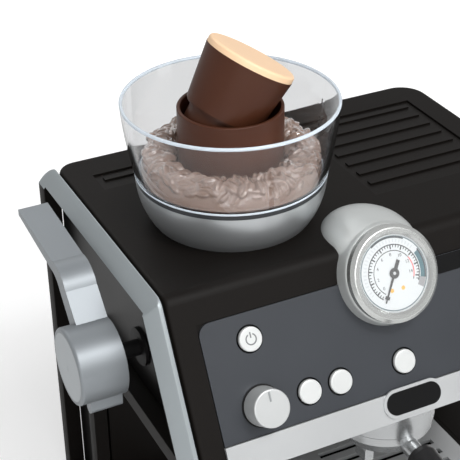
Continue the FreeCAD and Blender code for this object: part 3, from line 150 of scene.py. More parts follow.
trim_silver = sprayed("trim_silver", tone(160, 167, 170), 0.42, 0.45, grain=2600, mottle=0.04)
bend_y = -0.0704
bend_z = 0.205
bend = Vector((0, bend_y, bend_z))
slope_out = Vector((0, -0.878, 0.4787))
proud = 0.0009
top_start = -0.1118
slope_start = -0.1132
side_face = -0.1188
bevel_in = 0.80
bevel_out = 0.60
band_depth = 0.012
foot_front = -0.115
leaning = 0.5
square_on = 0.9
arris_width = 0.0004
bpy.ops.object.select_all(action="DESELECT")
trim = frame["nodes"]["left_trim_frame"].copy()
trim.data = trim.data.copy()
trim.parent = None
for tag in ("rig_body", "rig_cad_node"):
    del trim[tag]
bpy.context.scene.collection.objects.link(trim)
trim.select_set(True)
bpy.context.view_layer.objects.active = trim
bpy.ops.object.mode_set(mode="EDIT")
bpy.ops.mesh.select_mode(type="FACE")
cuts = (
    ((side_face, 0, 0), (-1, 0, 0)),
    ((top_start, 0, bend.z + proud), (-bevel_in, 0, bevel_out)),
    ((slope_start, *(bend + slope_out * proud).yz), (-bevel_in, *(slope_out * bevel_out).yz)),
)
bpy.ops.mesh.select_all(action="SELECT")
bpy.ops.mesh.remove_doubles(threshold=0.000001)
for through, outward in cuts:
    bpy.ops.mesh.select_all(action="SELECT")
    bpy.ops.mesh.bisect(plane_co=through, plane_no=outward, clear_outer=True, use_fill=True)
bpy.ops.mesh.select_all(action="SELECT")
bpy.ops.mesh.dissolve_limited(angle_limit=math.radians(1))
bpy.ops.object.mode_set(mode="OBJECT")
trim.data.materials.clear()
trim.data.materials.append(casing_black)
trim.data.materials.append(trim_silver)
# Faces that look up, out of the slope, back and forward at the foot take the silver; the others take
# black, as painted shade in the recess.
for face in trim.data.polygons:
    high = (face.center - bend).dot(slope_out)
    on_top = face.normal.z > leaning and face.center.z > bend.z - band_depth
    on_slope = face.normal.dot(slope_out) > leaning and high > -band_depth
    at_back = face.normal.y > square_on and face.center.y > -bend.y
    at_foot = face.normal.y < -square_on and face.center.y < foot_front
    face.material_index = int(on_top or on_slope or at_back or at_foot)
arris = trim.modifiers.new("arris", "BEVEL")
arris.width = arris_width
arris.segments = 2
arris.limit_method = "ANGLE"
arris.angle_limit = math.radians(25)
bpy.ops.object.modifier_apply(modifier="arris")
bpy.ops.object.shade_smooth_by_angle(angle=math.radians(30))
trim.name = "side_trim"
trim.data.name = "side_trim"
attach(trim, "casing")
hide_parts("left_trim_frame")
trim.select_set(False)

# Control panel: a dark blue-grey plate set into the slanted front.
# It is sprayed satin, smoother than the casing around it.
panel_grey = moulded(
    "panel_grey", tone(55, 58, 63), 0.36, grain=2200, depth=0.00002, specular=0.4, mottle=0.04
)
dress(panel_grey, "control_panel")

# Brew bar: the bright strip under the panel, sprayed in silver.
# A plate of plain black sits in a silver pill in its middle, with no wording on it.
bar_silver = sprayed("bar_silver", tone(205, 207, 208), 0.3, 0.55, grain=1500)
dress(bar_silver, "brew_bar", "badge_surround")
badge_black = moulded("badge_black", tone(12, 12, 13), 0.16, grain=600, depth=0.00001, specular=0.3)
dress(badge_black, "badge_insert", "indicator_window")

# Push buttons: four silver caps in wells, each pushed back by the switch behind it; each cap is blacked
# where it sinks into its well, as painted shade.
# The caps are sprayed in light silver with a soft edge.
cap_silver = sprayed("cap_silver", tone(220, 222, 221), 0.34, 0.3, grain=2600)
cap_shade_level = 0.0002
# Sockets of a colour mix, which go by number because its names repeat.
mix_share = 0
mix_first = 6
mix_second = 7
mix_result = 2


def paint_shade_below(material, level):
    """Blacks a silver part where it lies deeper than a level above the slanted face, as painted shade in
    its well.
    """
    nodes, links = material.node_tree.nodes, material.node_tree.links
    where = nodes.new("ShaderNodeTexCoord")
    height = nodes.new("ShaderNodeVectorMath")
    height.operation = "DOT_PRODUCT"
    height.inputs[1].default_value = slope_out
    links.new(where.outputs["Object"], height.inputs[0])
    above = nodes.new("ShaderNodeMath")
    above.operation = "GREATER_THAN"
    above.inputs[1].default_value = bend.dot(slope_out) + level
    links.new(height.outputs["Value"], above.inputs[0])
    shader = nodes["Principled BSDF"]
    paint = nodes.new("ShaderNodeMix")
    paint.data_type = "RGBA"
    # Near black: the painted shade on the part sunk in its well.
    paint.inputs[mix_first].default_value = tone(12, 12, 12)
    links.new(above.outputs[0], paint.inputs[mix_share])
    links.new(shader.inputs["Base Color"].links[0].from_socket, paint.inputs[mix_second])
    links.new(paint.outputs[mix_result], shader.inputs["Base Color"])


paint_shade_below(cap_silver, cap_shade_level)
dress(cap_silver, "power_button", "button_outer", "button_inner", "button_centre")

# Power symbol: a broken ring and a bar, printed a hair proud of the first button's cap.
# Grey ink, so it reads softly against the silver.
slope_angle = math.radians(61.386)
slope = Matrix.Translation((0, bend_y, bend_z)) @ Matrix.Rotation(slope_angle, 4, "X")
power_x = -0.0742
power_down = 0.0278
button_face = 0.0021
symbol_radius = 0.0028
symbol_line = 0.0006
gap_half = symbol_radius * 0.45
stroke_middle = symbol_radius * 0.7
stroke_length = symbol_radius * 0.95
ink_thick = 0.00012


def pick_faces(mesh, chosen):
    """Selects the faces for which chosen(middle, normal) is true, and no others."""
    bpy.ops.object.mode_set(mode="OBJECT")
    for edge in mesh.edges:
        edge.select = False
    for vertex in mesh.vertices:
        vertex.select = False
    for face in mesh.polygons:
        face.select = chosen(face.center, face.normal)
    bpy.ops.object.mode_set(mode="EDIT")


def join(base, others):
    """Makes one piece of a base and the others."""
    for other in others:
        other.select_set(True)
    base.select_set(True)
    bpy.context.view_layer.objects.active = base
    bpy.ops.object.join()


def settle(piece, name, finish, body, place=None, sharp=30):
    """Names a finished piece, puts its place in its mesh, and fixes it to what carries it."""
    bpy.ops.object.mode_set(mode="OBJECT")
    bpy.ops.object.transform_apply(location=True, rotation=True, scale=True)
    for modifier in list(piece.modifiers):
        bpy.ops.object.modifier_apply(modifier=modifier.name)
    if place is not None:
        piece.data.transform(place)
    bpy.ops.object.shade_smooth_by_angle(angle=math.radians(sharp))
    piece.name = name
    piece.data.name = name
    piece.data.materials.clear()
    piece.data.materials.append(finish)
    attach(piece, body)
    piece.select_set(False)


symbol_grey = moulded("symbol_grey", tone(120, 122, 124), 0.4, mottle=0.03)
bpy.ops.mesh.primitive_circle_add(vertices=40, radius=symbol_radius, fill_type="NGON")
ring = bpy.context.object
bpy.ops.object.mode_set(mode="EDIT")
bpy.ops.mesh.select_mode(type="FACE")
bpy.ops.mesh.inset(thickness=symbol_line)
bpy.ops.mesh.delete(type="FACE")
pick_faces(ring.data, lambda middle, normal: middle.y > 0 and abs(middle.x) < gap_half)
bpy.ops.mesh.delete(type="FACE")
bpy.ops.mesh.select_all(action="SELECT")
bpy.ops.mesh.extrude_region_move(TRANSFORM_OT_translate={"value": (0, 0, ink_thick)})
bpy.ops.mesh.select_all(action="SELECT")
bpy.ops.mesh.normals_make_consistent(inside=False)
bpy.ops.object.mode_set(mode="OBJECT")
bpy.ops.mesh.primitive_cube_add(size=1, location=(0, stroke_middle, ink_thick / 2))
stroke = bpy.context.object
stroke.scale = (symbol_line, stroke_length, ink_thick)
bpy.ops.object.transform_apply(location=True, rotation=True, scale=True)
join(ring, [stroke])
power_face = slope @ Matrix.Translation((power_x, -power_down, button_face))
settle(ring, "power_symbol", symbol_grey, "power_key", power_face)

# Turning knobs: two silver caps with a short raised pointer at twelve o'clock.
# Each knob is blacked where it sinks into the panel, and a black collar closes its hole; both are
# painted shade in the hole.
knob_silver = sprayed("knob_silver", tone(204, 206, 206), 0.34, 0.45, grain=2600)
knob_shade_level = 0.0012
paint_shade_below(knob_silver, knob_shade_level)
dress(knob_silver, "brew_knob", "steam_knob")
black_and_gap_shade = moulded("black_and_gap_shade", tone(16, 15, 16), 0.5, specular=0.3)
dress(black_and_gap_shade, "knob_collars")
knob_x = 0.0756
knob_down = 0.0588
knob_face = 0.012
pointer_inner = 0.0032
pointer_outer = 0.0078
pointer_width = 0.0009
pointer_rise = 0.0004
pointer_round = pointer_rise * 0.3
pointer_top = (0.8, 0.94, 1)
pointer_length = pointer_outer - pointer_inner
pointer_middle = (pointer_inner + pointer_outer) / 2
pointer_grey = moulded("pointer_grey", tone(146, 149, 151), 0.4, mottle=0.03)
for name, body, x in (
    ("brew_pointer", "left_knob", -knob_x),
    ("steam_pointer", "right_knob", knob_x),
):
    bpy.ops.mesh.primitive_cube_add(size=1, location=(0, pointer_middle, pointer_rise / 2))
    pointer = bpy.context.object
    pointer.scale = (pointer_width, pointer_length, pointer_rise)
    bpy.ops.object.transform_apply(location=True, rotation=True, scale=True)
    bpy.ops.object.mode_set(mode="EDIT")
    bpy.ops.mesh.select_mode(type="FACE")
    pick_faces(pointer.data, lambda middle, normal: normal.z > 0.9)
    bpy.ops.transform.resize(value=pointer_top)
    bpy.ops.object.mode_set(mode="OBJECT")
    rounding = pointer.modifiers.new("rounding", "BEVEL")
    rounding.width = pointer_round
    rounding.segments = 2
    face_place = slope @ Matrix.Translation((x, -knob_down, knob_face))
    settle(pointer, name, pointer_grey, body, face_place)

# Gauge pod: a silver bullet-shaped housing that leans out of the slope, with a chromed bezel.
# The pod is sprayed satin silver, and the bezel is plated brighter.
pod_silver = sprayed("pod_silver", tone(200, 203, 202), 0.38, 0.45)
gauge_down = 0.0162
lip_out = 0.0067
lip_radius = 0.0237
root_out = -0.003
root_radius = 0.0256
dome_y = -0.062
dome_z = 0.2015
dome_size = (0.0223, 0.025, 0.0126)
nose_share = 0.64
fullness = 3.2
sunk = 0.0015
tiny = 1e-9
bpy.ops.mesh.primitive_cone_add(
    vertices=96,
    radius1=root_radius,
    radius2=lip_radius,
    depth=lip_out - root_out,
)
pod = bpy.context.object
pod.data.transform(slope @ Matrix.Translation((0, -gauge_down, (lip_out + root_out) / 2)))
bpy.ops.mesh.primitive_uv_sphere_add(segments=72, ring_count=36, radius=1)
dome = bpy.context.object
bpy.ops.object.mode_set(mode="EDIT")
bpy.ops.mesh.select_mode(type="VERT")
pick_faces(dome.data, lambda middle, normal: middle.y < 0)
bpy.ops.transform.resize(value=(1, nose_share, 1), center_override=(0, 0, 0))
bpy.ops.object.mode_set(mode="OBJECT")
for vertex in dome.data.vertices:
    forward = min(1, -vertex.co.y / nose_share)
    if forward > 0:
        round_share = math.sqrt(max(tiny, 1 - forward**2))
        full_share = max(0, 1 - forward**fullness) ** (1 / fullness)
        vertex.co.x *= full_share / round_share
        vertex.co.z *= full_share / round_share
dome.scale = dome_size
dome.location = (0, dome_y, dome_z)
bpy.ops.object.transform_apply(location=True, rotation=True, scale=True)
join(pod, [dome])
skin = pod.modifiers.new("skin", "REMESH")
skin.mode = "VOXEL"
skin.voxel_size = 0.0006
easing = pod.modifiers.new("easing", "SMOOTH")
easing.iterations = 10
for modifier in list(pod.modifiers):
    bpy.ops.object.modifier_apply(modifier=modifier.name)
into_slope = slope.inverted()
for vertex in pod.data.vertices:
    under_top = bend_z - sunk - vertex.co.z
    local = into_slope @ vertex.co
    under_face = -sunk - local.z
    if min(under_top, under_face) > 0:
        if under_top < under_face:
            vertex.co.z += under_top
        else:
            vertex.co = slope @ (local + Vector((0, 0, under_face)))
settle(pod, "gauge_pod", pod_silver, "casing", sharp=60)
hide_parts("gauge_housing")
bezel_chrome = moulded(
    "bezel_chrome", tone(200, 202, 200), 0.24, grain=2000, depth=0.00001, metal=0.75, mottle=0.02
)
dress(bezel_chrome, "gauge_bezel")

# Gauge dial: a white printed card with two thin rings, ticks between them and coloured print, with a
# painted reflection and painted shade of the bezel near its rim.
# The print and the painted light are drawn by distance and angle from the needle's pin.
dial_out = 0.0097
dial_radius = 0.01835
dial_place = slope @ Matrix.Translation((0, -gauge_down, dial_out))
dial_card = moulded("dial_card", tone(216, 220, 222), 0.45, grain=3000, depth=0.000005, mottle=0.01)
nodes, links = dial_card.node_tree.nodes, dial_card.node_tree.links
fine_step = 6.5
main_step = 26
tick_reach = (0.66, 0.735)
main_reach = (0.62, 0.735)
pale_reach = (0.79, 0.88)
outer_ring = (0.72, 0.748)
inner_ring = (0.57, 0.592)
rim_shade_reach = (0.935, 0.965)
top_shadow_reach = (0.9, 0.95)
pale_strength = 0.8
rim_shade_strength = 0.9


def calc(operation, first, second=None):
    """One sum on the dial's print; each term is a number or another node's socket."""
    node = nodes.new("ShaderNodeMath")
    node.operation = operation
    for socket, term in zip(node.inputs, (first, second)):
        if term is None:
            continue
        if isinstance(term, (int, float)):
            socket.default_value = term
        else:
            links.new(term, socket)
    return node.outputs[0]


def band(value, low, high):
    """One inside a range of a value, nothing outside it."""
    return calc("MULTIPLY", calc("GREATER_THAN", value, low), calc("LESS_THAN", value, high))


where = nodes.new("ShaderNodeTexCoord")
flat = nodes.new("ShaderNodeMapping")
flat.vector_type = "TEXTURE"
flat.inputs["Location"].default_value = dial_place.translation
flat.inputs["Rotation"].default_value = (slope_angle, 0, 0)
links.new(where.outputs["Object"], flat.inputs["Vector"])
axes = nodes.new("ShaderNodeSeparateXYZ")
links.new(flat.outputs["Vector"], axes.inputs["Vector"])
along = calc("DIVIDE", axes.outputs["X"], dial_radius)
up = calc("DIVIDE", axes.outputs["Y"], dial_radius)
radius = calc("SQRT", calc("ADD", calc("MULTIPLY", along, along), calc("MULTIPLY", up, up)))
clock = calc("DEGREES", calc("ARCTAN2", along, up))


def every(step, width):
    """Marks at every step of the clock angle, each width degrees wide."""
    share = calc("FRACT", calc("DIVIDE", calc("ADD", clock, 360 + width / 2), step))
    return calc("LESS_THAN", share, width / step)


scale_span = band(clock, -142, 118)
fine_ticks = calc("MULTIPLY", every(fine_step, 2.0), band(radius, *tick_reach))
main_ticks = calc("MULTIPLY", every(main_step, 3.2), band(radius, *main_reach))
ticks = calc("MAXIMUM", fine_ticks, main_ticks)
rings = calc("MAXIMUM", band(radius, *outer_ring), band(radius, *inner_ring))
black_print = calc("MULTIPLY", calc("MAXIMUM", ticks, rings), scale_span)
# The dark ring at the dial's rim and the dark arc at its top are painted shade cast by the bezel.
bezel_rim_shade = calc("MULTIPLY", band(radius, *rim_shade_reach), rim_shade_strength)
bezel_top_shadow = calc("MULTIPLY", band(radius, *top_shadow_reach), band(clock, -32, 30))
pale_ring = calc("MULTIPLY", every(fine_step, 2.4), band(radius, *pale_reach))
pale_ticks = calc("MULTIPLY", pale_ring, band(clock, -120, 52))
marks_and_painted_light = [
    (tone(196, 200, 204), calc("MULTIPLY", pale_ticks, pale_strength)),
    (tone(24, 28, 32), black_print),
    (tone(52, 84, 92), bezel_rim_shade),
    (tone(16, 34, 42), bezel_top_shadow),
]
# Each arc: its colour, its two distances from the pin and its two clock angles. The red arc is print;
# the teal band at the right, its dark outer edge and the grey strip at its lower end are a painted
# reflection and painted shade of the bezel's inner wall.
for colour, reach, span in (
    (tone(226, 92, 92), (0.565, 0.595), (58, 112)),
    (tone(40, 96, 108), (0.77, 0.93), (62, 118)),
    (tone(12, 20, 30), (0.89, 0.93), (60, 124)),
    (tone(148, 148, 150), (0.75, 0.93), (110, 126)),
):
    marks_and_painted_light.append((colour, calc("MULTIPLY", band(radius, *reach), band(clock, *span))))
lamp_ring = 0.055
lamp_down = 0.42
for side in (-0.16, 0.17):
    off_x = calc("SUBTRACT", along, side)
    off_y = calc("ADD", up, lamp_down)
    reach = calc("SQRT", calc("ADD", calc("MULTIPLY", off_x, off_x), calc("MULTIPLY", off_y, off_y)))
    marks_and_painted_light.append((tone(240, 178, 62), calc("LESS_THAN", reach, lamp_ring)))
shader = nodes["Principled BSDF"]
dial_colour = shader.inputs["Base Color"].links[0].from_socket
# Print and painted light are laid over the card one after another.
for colour, mask in marks_and_painted_light:
    colour_layer = nodes.new("ShaderNodeMix")
    colour_layer.data_type = "RGBA"
    links.new(mask, colour_layer.inputs[mix_share])
    links.new(dial_colour, colour_layer.inputs[mix_first])
    colour_layer.inputs[mix_second].default_value = colour
    dial_colour = colour_layer.outputs[mix_result]
links.new(dial_colour, shader.inputs["Base Color"])
dress(dial_card, "gauge_dial")

# Dial numbers: plain figures from nothing to fourteen, printed between the two rings.
# Each is set upright on its own radius, as on a pressure gauge.
figure_radius = dial_radius * 0.485
figure_height = 0.0022
first_clock = -130
figure_step = 32.5
figure_count = 8
counts_by = 2
figure_rise = ink_thick / 4
ink_black = moulded("ink_black", tone(22, 24, 28), 0.5, mottle=0.02)
figures = []
for index in range(figure_count):
    angle = math.radians(first_clock + index * figure_step)
    bpy.ops.object.text_add()
    figure = bpy.context.object
    figure.data.body = str(index * counts_by)
    figure.data.size = figure_height
    figure.data.align_x = "CENTER"
    figure.data.align_y = "CENTER"
    figure.data.extrude = figure_rise
    bpy.ops.object.convert(target="MESH")
    aside = math.sin(angle) * figure_radius
    above = math.cos(angle) * figure_radius
    figure.data.transform(Matrix.Translation((aside, above, figure_rise)))
    figures.append(figure)
join(figures[0], figures[1:])
settle(figures[0], "dial_numbers", ink_black, "casing", dial_place)

# Needle: a black moulded pointer with a boss, a blunt tail and a small block near its tip.
# It is pressed on a pale pin in the middle of the dial.
needle_black = moulded("needle_black", tone(14, 15, 17), 0.4, mottle=0.02)
needle_low = 0.00015
needle_thick = 0.0004
needle_middle = needle_low + needle_thick / 2
boss_radius = 0.0025
tip_x = -0.0076
tip_y = -0.0126
needle_aim = math.atan2(tip_y, tip_x)
bpy.ops.mesh.primitive_cylinder_add(
    vertices=40,
    radius=boss_radius,
    depth=needle_thick,
    location=(0, 0, needle_middle),
)
bpy.ops.object.transform_apply(location=True, rotation=True, scale=True)
needle = bpy.context.object
# Each bar: how far out its middle lies, its length, its width and the share of width left at its tip.
for out, length, width, tip_share in (
    (0.0073, 0.0148, 0.0012, 0.4),
    (-0.0039, 0.0053, 0.0017, 1),
    (0.0121, 0.0015, 0.0022, 1),
):
    bpy.ops.mesh.primitive_cube_add(size=1)
    bar = bpy.context.object
    bpy.ops.object.mode_set(mode="EDIT")
    bpy.ops.mesh.select_mode(type="FACE")
    pick_faces(bar.data, lambda middle, normal: normal.x > 0.9)
    bpy.ops.transform.resize(value=(1, tip_share, 1))
    bpy.ops.object.mode_set(mode="OBJECT")
    bar.data.transform(
        Matrix.Rotation(needle_aim, 4, "Z")
        @ Matrix.Translation((out, 0, needle_middle))
        @ Matrix.Diagonal((length, width, needle_thick, 1))
    )
    join(needle, [bar])
settle(needle, "gauge_pointer", needle_black, "casing", dial_place)
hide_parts("gauge_needle")
pin_radius = 0.0008
pin_height = 0.12
bpy.ops.mesh.primitive_uv_sphere_add(segments=24, ring_count=12, radius=pin_radius)
pin = bpy.context.object
pin.scale = (1, 1, pin_height)
pin_grey = moulded("pin_grey", tone(206, 208, 210), 0.3, metal=0.3, mottle=0.02)
pin_place = dial_place @ Matrix.Translation((0, 0, needle_low + needle_thick))
settle(pin, "needle_pin", pin_grey, "casing", pin_place)

# Lens: a clear moulded window that snaps in over the dial and keeps fingers off the needle.
# It is so thin that only its gloss is seen.
lens_seen = 0.07
lens_clear = moulded("lens_clear", tone(250, 252, 252), 0.06, grain=200, depth=0.000002, mottle=0.01)
lens_clear.node_tree.nodes["Principled BSDF"].inputs["Alpha"].default_value = lens_seen
dress(lens_clear, "gauge_lens")

# Hopper base and seal: a silver bowl foot on the flat top, and the dark ring the jar stands on.
# The base is sprayed satin silver.
base_silver = sprayed("base_silver", tone(188, 191, 193), 0.33, 0.75)
dress(base_silver, "hopper_base")
seal_dark = moulded("seal_dark", tone(34, 36, 40), 0.3, specular=0.5)
dress(seal_dark, "seal_ring")

# Hopper bowl: a clear styrene jar, open at the top, with a polished rim.
# Its wall is thin, so the rim and the foot show as bright and blue-grey lines.


def clear_plastic(name, colour, rough, ior):
    """Clear styrene that lets lamp light through, so that what it covers isn't in the dark."""
    hazed = 0.03
    material = bpy.data.materials.new(name)
    material.use_nodes = True
    nodes, links = material.node_tree.nodes, material.node_tree.links
    shader = nodes["Principled BSDF"]
    shader.inputs["Base Color"].default_value = colour
    shader.inputs["Transmission Weight"].default_value = 1
    shader.inputs["IOR"].default_value = ior
    place = nodes.new("ShaderNodeTexCoord")
    haze = nodes.new("ShaderNodeTexNoise")
    haze.inputs["Scale"].default_value = 60
    links.new(place.outputs["Object"], haze.inputs["Vector"])
    gloss = nodes.new("ShaderNodeMapRange")
    gloss.inputs["To Min"].default_value = rough
    gloss.inputs["To Max"].default_value = rough + hazed
    links.new(haze.outputs["Fac"], gloss.inputs["Value"])
    links.new(gloss.outputs["Result"], shader.inputs["Roughness"])
    through = nodes.new("ShaderNodeBsdfTransparent")
    through.inputs["Color"].default_value = (0.92, 0.94, 0.95, 1)
    path = nodes.new("ShaderNodeLightPath")
    choice = nodes.new("ShaderNodeMixShader")
    links.new(path.outputs["Is Shadow Ray"], choice.inputs["Fac"])
    links.new(shader.outputs["BSDF"], choice.inputs[1])
    links.new(through.outputs["BSDF"], choice.inputs[2])
    links.new(choice.outputs["Shader"], nodes["Material Output"].inputs["Surface"])
    return material


bowl_clear = clear_plastic("bowl_clear", (0.975, 0.985, 0.995, 1), 0.015, 1.42)
dress(bowl_clear, "hopper_bowl")
bowl_x = -0.0482
bowl_y = -0.0141
bead_through = 0.45
bead_blue = clear_plastic("bead_blue", (0.80, 0.86, 0.92, 1), 0.12, 1.4)
bead_shader = bead_blue.node_tree.nodes["Principled BSDF"]
bead_shader.inputs["Transmission Weight"].default_value = bead_through
# Each bead: its height, its radius round the jar and its thickness.
for name, high, round_bowl, thick in (
    ("bowl_rim", 0.2650, 0.0513, 0.0008),
    ("bowl_foot", 0.2291, 0.0461, 0.0006),
):
    bpy.ops.mesh.primitive_torus_add(
        location=(bowl_x, bowl_y, high),
        major_radius=round_bowl,
        minor_radius=thick,
        major_segments=144,
        minor_segments=16,
    )
    bead = bpy.context.object
    settle(bead, name, bead_blue, "casing", sharp=80)

# Bean filling: a tinted clear insert pressed into the shape of heaped coffee beans.
# It fills the jar's foot round the brown chute and sparkles where its bumps catch the light.
heap_foot = 0.2298
heap_inner = 0.0258
heap_outer = 0.0444
heap_rise = 0.0095
heap_middle = (heap_inner + heap_outer) / 2
heap_half = (heap_outer - heap_inner) / 2
bpy.ops.mesh.primitive_torus_add(
    major_radius=heap_middle,
    minor_radius=heap_half,
    major_segments=120,
    minor_segments=32,
)
beans = bpy.context.object
beans.scale = (1, 1, heap_rise / heap_half)
bpy.ops.object.transform_apply(location=False, rotation=False, scale=True)
for vertex in beans.data.vertices:
    vertex.co.z = max(0, vertex.co.z)
crease_top = 0.5
crease_half = 0.2
crease_depth = 0.45
bpy.ops.mesh.primitive_uv_sphere_add(segments=20, ring_count=12, radius=1)
bean = bpy.context.object
bpy.ops.object.mode_set(mode="EDIT")
bpy.ops.mesh.select_mode(type="FACE")
pick_faces(bean.data, lambda middle, normal: middle.z > crease_top and abs(middle.y) < crease_half)
bpy.ops.transform.translate(value=(0, 0, -crease_depth))
bpy.ops.object.mode_set(mode="OBJECT")
bean_size = (0.0042, 0.0026, 0.0024)
bean_count = 230
golden_turn = math.radians(137.508)
deepest = -0.0010
highest = 0.0016
chute_gap = 0.002
wall_gap = 0.0034
least_lift = 0.003
lean_most = 0.9
tip_most = 0.7
chance = random.Random(7)
heaped = []
for number in range(bean_count):
    share = (number + 0.5) / bean_count
    reach = math.sqrt(heap_inner**2 + share * (heap_outer**2 - heap_inner**2))
    angle = number * golden_turn
    across = (reach - heap_middle) / heap_half
    lift = heap_rise * math.sqrt(max(0, 1 - across * across)) + chance.uniform(deepest, highest)
    reach = min(max(reach, heap_inner + chute_gap), heap_outer - wall_gap)
    high = max(lift, least_lift)
    spot = Matrix.Translation((reach * math.cos(angle), reach * math.sin(angle), high))
    lie = Matrix.Rotation(angle, 4, "Z") @ Matrix.Rotation(across * lean_most, 4, "Y")
    spin = Matrix.Rotation(chance.uniform(0, math.tau), 4, "Z")
    turn = spin @ Matrix.Rotation(chance.uniform(-tip_most, tip_most), 4, "X")
    one = bean.copy()
    one.data = bean.data.copy()
    one.data.transform(spot @ lie @ turn @ Matrix.Diagonal((*bean_size, 1)))
    bpy.context.scene.collection.objects.link(one)
    heaped.append(one)
bpy.data.objects.remove(bean)
join(beans, heaped)
beans.data.transform(Matrix.Translation((bowl_x, bowl_y, heap_foot)))
pressed = beans.modifiers.new("pressed", "REMESH")
pressed.mode = "VOXEL"
pressed.voxel_size = 0.0005
softened = beans.modifiers.new("softened", "SMOOTH")
softened.iterations = 1
bean_tint = clear_plastic("bean_tint", tone(142, 118, 106), 0.04, 1.5)
bean_through = 0.3
bean_shader = bean_tint.node_tree.nodes["Principled BSDF"]
bean_shader.inputs["Transmission Weight"].default_value = bean_through
bean_shader.inputs["Coat Weight"].default_value = 1
settle(beans, "bean_filling", bean_tint, "casing", sharp=60)
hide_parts("bean_insert")

# Chute collar and coffee plug: brown styrene, the plug dropped in askew with a cream top.
# The plug is a solid turned form with a stepped foot.
coffee_brown = moulded(
    "coffee_brown", tone(72, 39, 24), 0.42, grain=1600, depth=0.00003, specular=0.28, mottle=0.06
)
dress(coffee_brown, "chute_collar", "plug_body")
crema_cream = moulded("crema_cream", tone(250, 212, 172), 0.42, grain=1200, depth=0.00003, mottle=0.03)
dress(crema_cream, "plug_cap")

# Side lever: a silver arm and hub on the left, with a cap over the screw.
# It turns the gear pair that drops the flap under the chute.
lever_silver = sprayed("lever_silver", tone(138, 143, 147), 0.42, 0.45)
dress(lever_silver, "lever_arm")
end_silver = sprayed("end_silver", tone(176, 181, 184), 0.45, 0.4)
dress(end_silver, "lever_end_cap")
shaft_grey = moulded("shaft_grey", tone(150, 152, 154), 0.4, metal=0.3)
dress(shaft_grey, "flap_shaft")
# The lever's shaft and bush are black, painted shade in the gap between the hub and the side panel.
dress(black_and_gap_shade, "lever_shaft", "lever_bush")
bush_grey = moulded("bush_grey", tone(96, 98, 102), 0.45)
dress(bush_grey, "gear_frame")
gear_white = moulded("gear_white", tone(214, 212, 204), 0.42, mottle=0.03)
dress(gear_white, "drive_gear", "flap_gear")
dress(coffee_brown, "chute_flap")

# Group head and portafilter: silver head and cup, a paler steel basket and a black handle.
# The gasket is soft grey rubber that the cup's rim closes on.
head_silver = sprayed("head_silver", tone(186, 188, 189), 0.26, 0.85, grain=2000)
dress(head_silver, "group_head", "portafilter_head", "portafilter_spouts")
basket_steel = moulded(
    "basket_steel", tone(200, 201, 203), 0.2, depth=0.00001, metal=1.0, mottle=0.03
)
dress(basket_steel, "filter_basket")
gasket_grey = moulded("gasket_grey", tone(64, 64, 66), 0.7, specular=0.3)
dress(gasket_grey, "group_gasket")
handle_black = moulded("handle_black", tone(26, 25, 26), 0.3, grain=1400, depth=0.00003, specular=0.45)
dress(handle_black, "portafilter_handle")

# Steam wand: a silver tube under a black mount, with a rubber sleeve for the fingers.
# It swivels under the right end of the head.
dress(black_and_gap_shade, "wand_mount")
dress(basket_steel, "steam_wand")
grip_rubber = moulded("grip_rubber", tone(30, 30, 31), 0.62, grain=700, depth=0.00006, specular=0.3)
dress(grip_rubber, "wand_grip")

# Drip tray and grille: a black drawer under a silver grating.
# The tray slides out forwards and the grating lifts off it.
dress(casing_black, "drip_tray")
dress(bar_silver, "drip_grille")

# Underside: a black base plate with a battery door, its screw and four rubber feet.
# Cells, spring contacts and the speaker sit above it, as in any sound toy.
dress(casing_black, "base_plate", "battery_door")
dress(grip_rubber, "rubber_feet")
box_grey = moulded("box_grey", tone(70, 71, 74), 0.5)
dress(box_grey, "battery_box")
screw_steel = moulded("screw_steel", tone(168, 170, 172), 0.25, grain=900, depth=0.00001, metal=1.0)
dress(screw_steel, "battery_door_screw", "rear_cover_screws", "battery_contacts")
cell_wrap = moulded("cell_wrap", tone(70, 96, 120), 0.3, metal=0.2, coat=0.4)
dress(cell_wrap, "batteries")
speaker_black = moulded("speaker_black", tone(40, 40, 42), 0.6, specular=0.3)
dress(speaker_black, "speaker")
board_green = moulded("board_green", tone(38, 92, 60), 0.35, grain=500, coat=0.3)
dress(board_green, "circuit_board")

# Studio: a plain white table that runs out of sight and keeps the soft shadow.
# Seen straight on it is as white as the paper the object was photographed on.
bpy.ops.mesh.primitive_plane_add(size=12, location=(0, 0, 0))
table = bpy.context.object
table.name = "table"
table_white = bpy.data.materials.new("table_white")
table_white.use_nodes = True
nodes, links = table_white.node_tree.nodes, table_white.node_tree.links
paper = nodes["Principled BSDF"]
paper.inputs["Base Color"].default_value = (0.86, 0.86, 0.86, 1)
paper.inputs["Roughness"].default_value = 0.9
paper.inputs["Specular IOR Level"].default_value = 0
glow = nodes.new("ShaderNodeEmission")
path = nodes.new("ShaderNodeLightPath")
seen = nodes.new("ShaderNodeMath")
seen.operation = "MULTIPLY"
spot = nodes.new("ShaderNodeTexCoord")
away = nodes.new("ShaderNodeVectorMath")
away.operation = "LENGTH"
links.new(spot.outputs["Object"], away.inputs[0])
fade = nodes.new("ShaderNodeMapRange")
fade.inputs["From Min"].default_value = 0.4
fade.inputs["From Max"].default_value = 1.6
fade.inputs["To Min"].default_value = 0.3
fade.inputs["To Max"].default_value = 1
links.new(away.outputs["Value"], fade.inputs["Value"])
links.new(fade.outputs["Result"], seen.inputs[1])
links.new(path.outputs["Is Camera Ray"], seen.inputs[0])
links.new(seen.outputs[0], glow.inputs["Strength"])
both = nodes.new("ShaderNodeAddShader")
links.new(paper.outputs["BSDF"], both.inputs[0])
links.new(glow.outputs["Emission"], both.inputs[1])
links.new(both.outputs["Shader"], nodes["Material Output"].inputs["Surface"])
table.data.materials.append(table_white)
world = bpy.data.worlds.new("studio")
bpy.context.scene.world = world
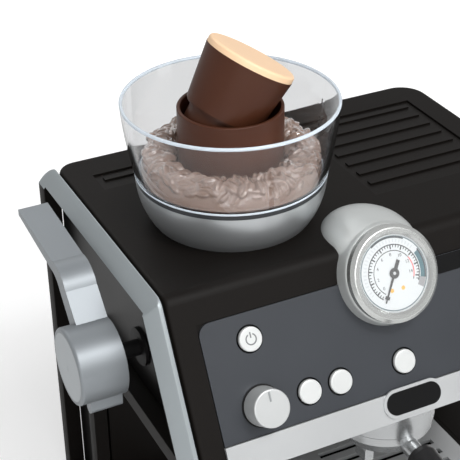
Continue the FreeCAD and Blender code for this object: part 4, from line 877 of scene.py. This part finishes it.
world.use_nodes = True
nodes, links = world.node_tree.nodes, world.node_tree.links
room = nodes["Background"]
room.inputs["Color"].default_value = (1, 1, 1, 1)
path = nodes.new("ShaderNodeLightPath")
straight = nodes.new("ShaderNodeMath")
straight.operation = "MAXIMUM"
links.new(path.outputs["Is Camera Ray"], straight.inputs[0])
links.new(path.outputs["Is Transmission Ray"], straight.inputs[1])
level = nodes.new("ShaderNodeMapRange")
level.inputs["To Min"].default_value = 0.48
level.inputs["To Max"].default_value = 1
links.new(straight.outputs[0], level.inputs["Value"])
links.new(level.outputs["Result"], room.inputs["Strength"])
aim = Vector((0, 0, 0.15))
# Each lamp: where it hangs, its width and its watts.
for name, spot, size, watts in (
    ("window_light", (0.35, -1.25, 1.55), 1.4, 20),
    ("side_light", (-0.75, -1.4, 0.75), 0.9, 5),
    ("small_light", (0.15, -0.85, 1.35), 0.14, 4),
    ("back_light", (-0.2, 1.3, 1.3), 1.2, 4),
):
    lamp = bpy.data.lights.new(name, "AREA")
    lamp.size = size
    lamp.energy = watts
    holder = bpy.data.objects.new(name, lamp)
    bpy.context.scene.collection.objects.link(holder)
    holder.location = spot
    holder.rotation_euler = (aim - Vector(spot)).to_track_quat("-Z", "Y").to_euler()

# Camera: stands high at the front left, as in the photograph.
# A long lens keeps the edges nearly parallel.
camera = bpy.data.cameras.new("camera")
camera.lens = 104.27
camera.sensor_width = 36
camera.clip_start = 0.01
camera.clip_end = 30
eye = bpy.data.objects.new("camera", camera)
bpy.context.scene.collection.objects.link(eye)
azimuth = 25.87
pitch_down = 31.12
roll_over = 0.833
eye_place = (-0.2952, -0.5211, 0.5340)
turn = Matrix.Rotation(math.radians(-azimuth), 4, "Z")
tilt = Matrix.Rotation(math.radians(90 - pitch_down), 4, "X")
roll = Matrix.Rotation(math.radians(-roll_over), 4, "Z")
eye.matrix_world = Matrix.Translation(eye_place) @ turn @ tilt @ roll
bpy.context.scene.camera = eye
bpy.context.scene.view_settings.view_transform = "Standard"
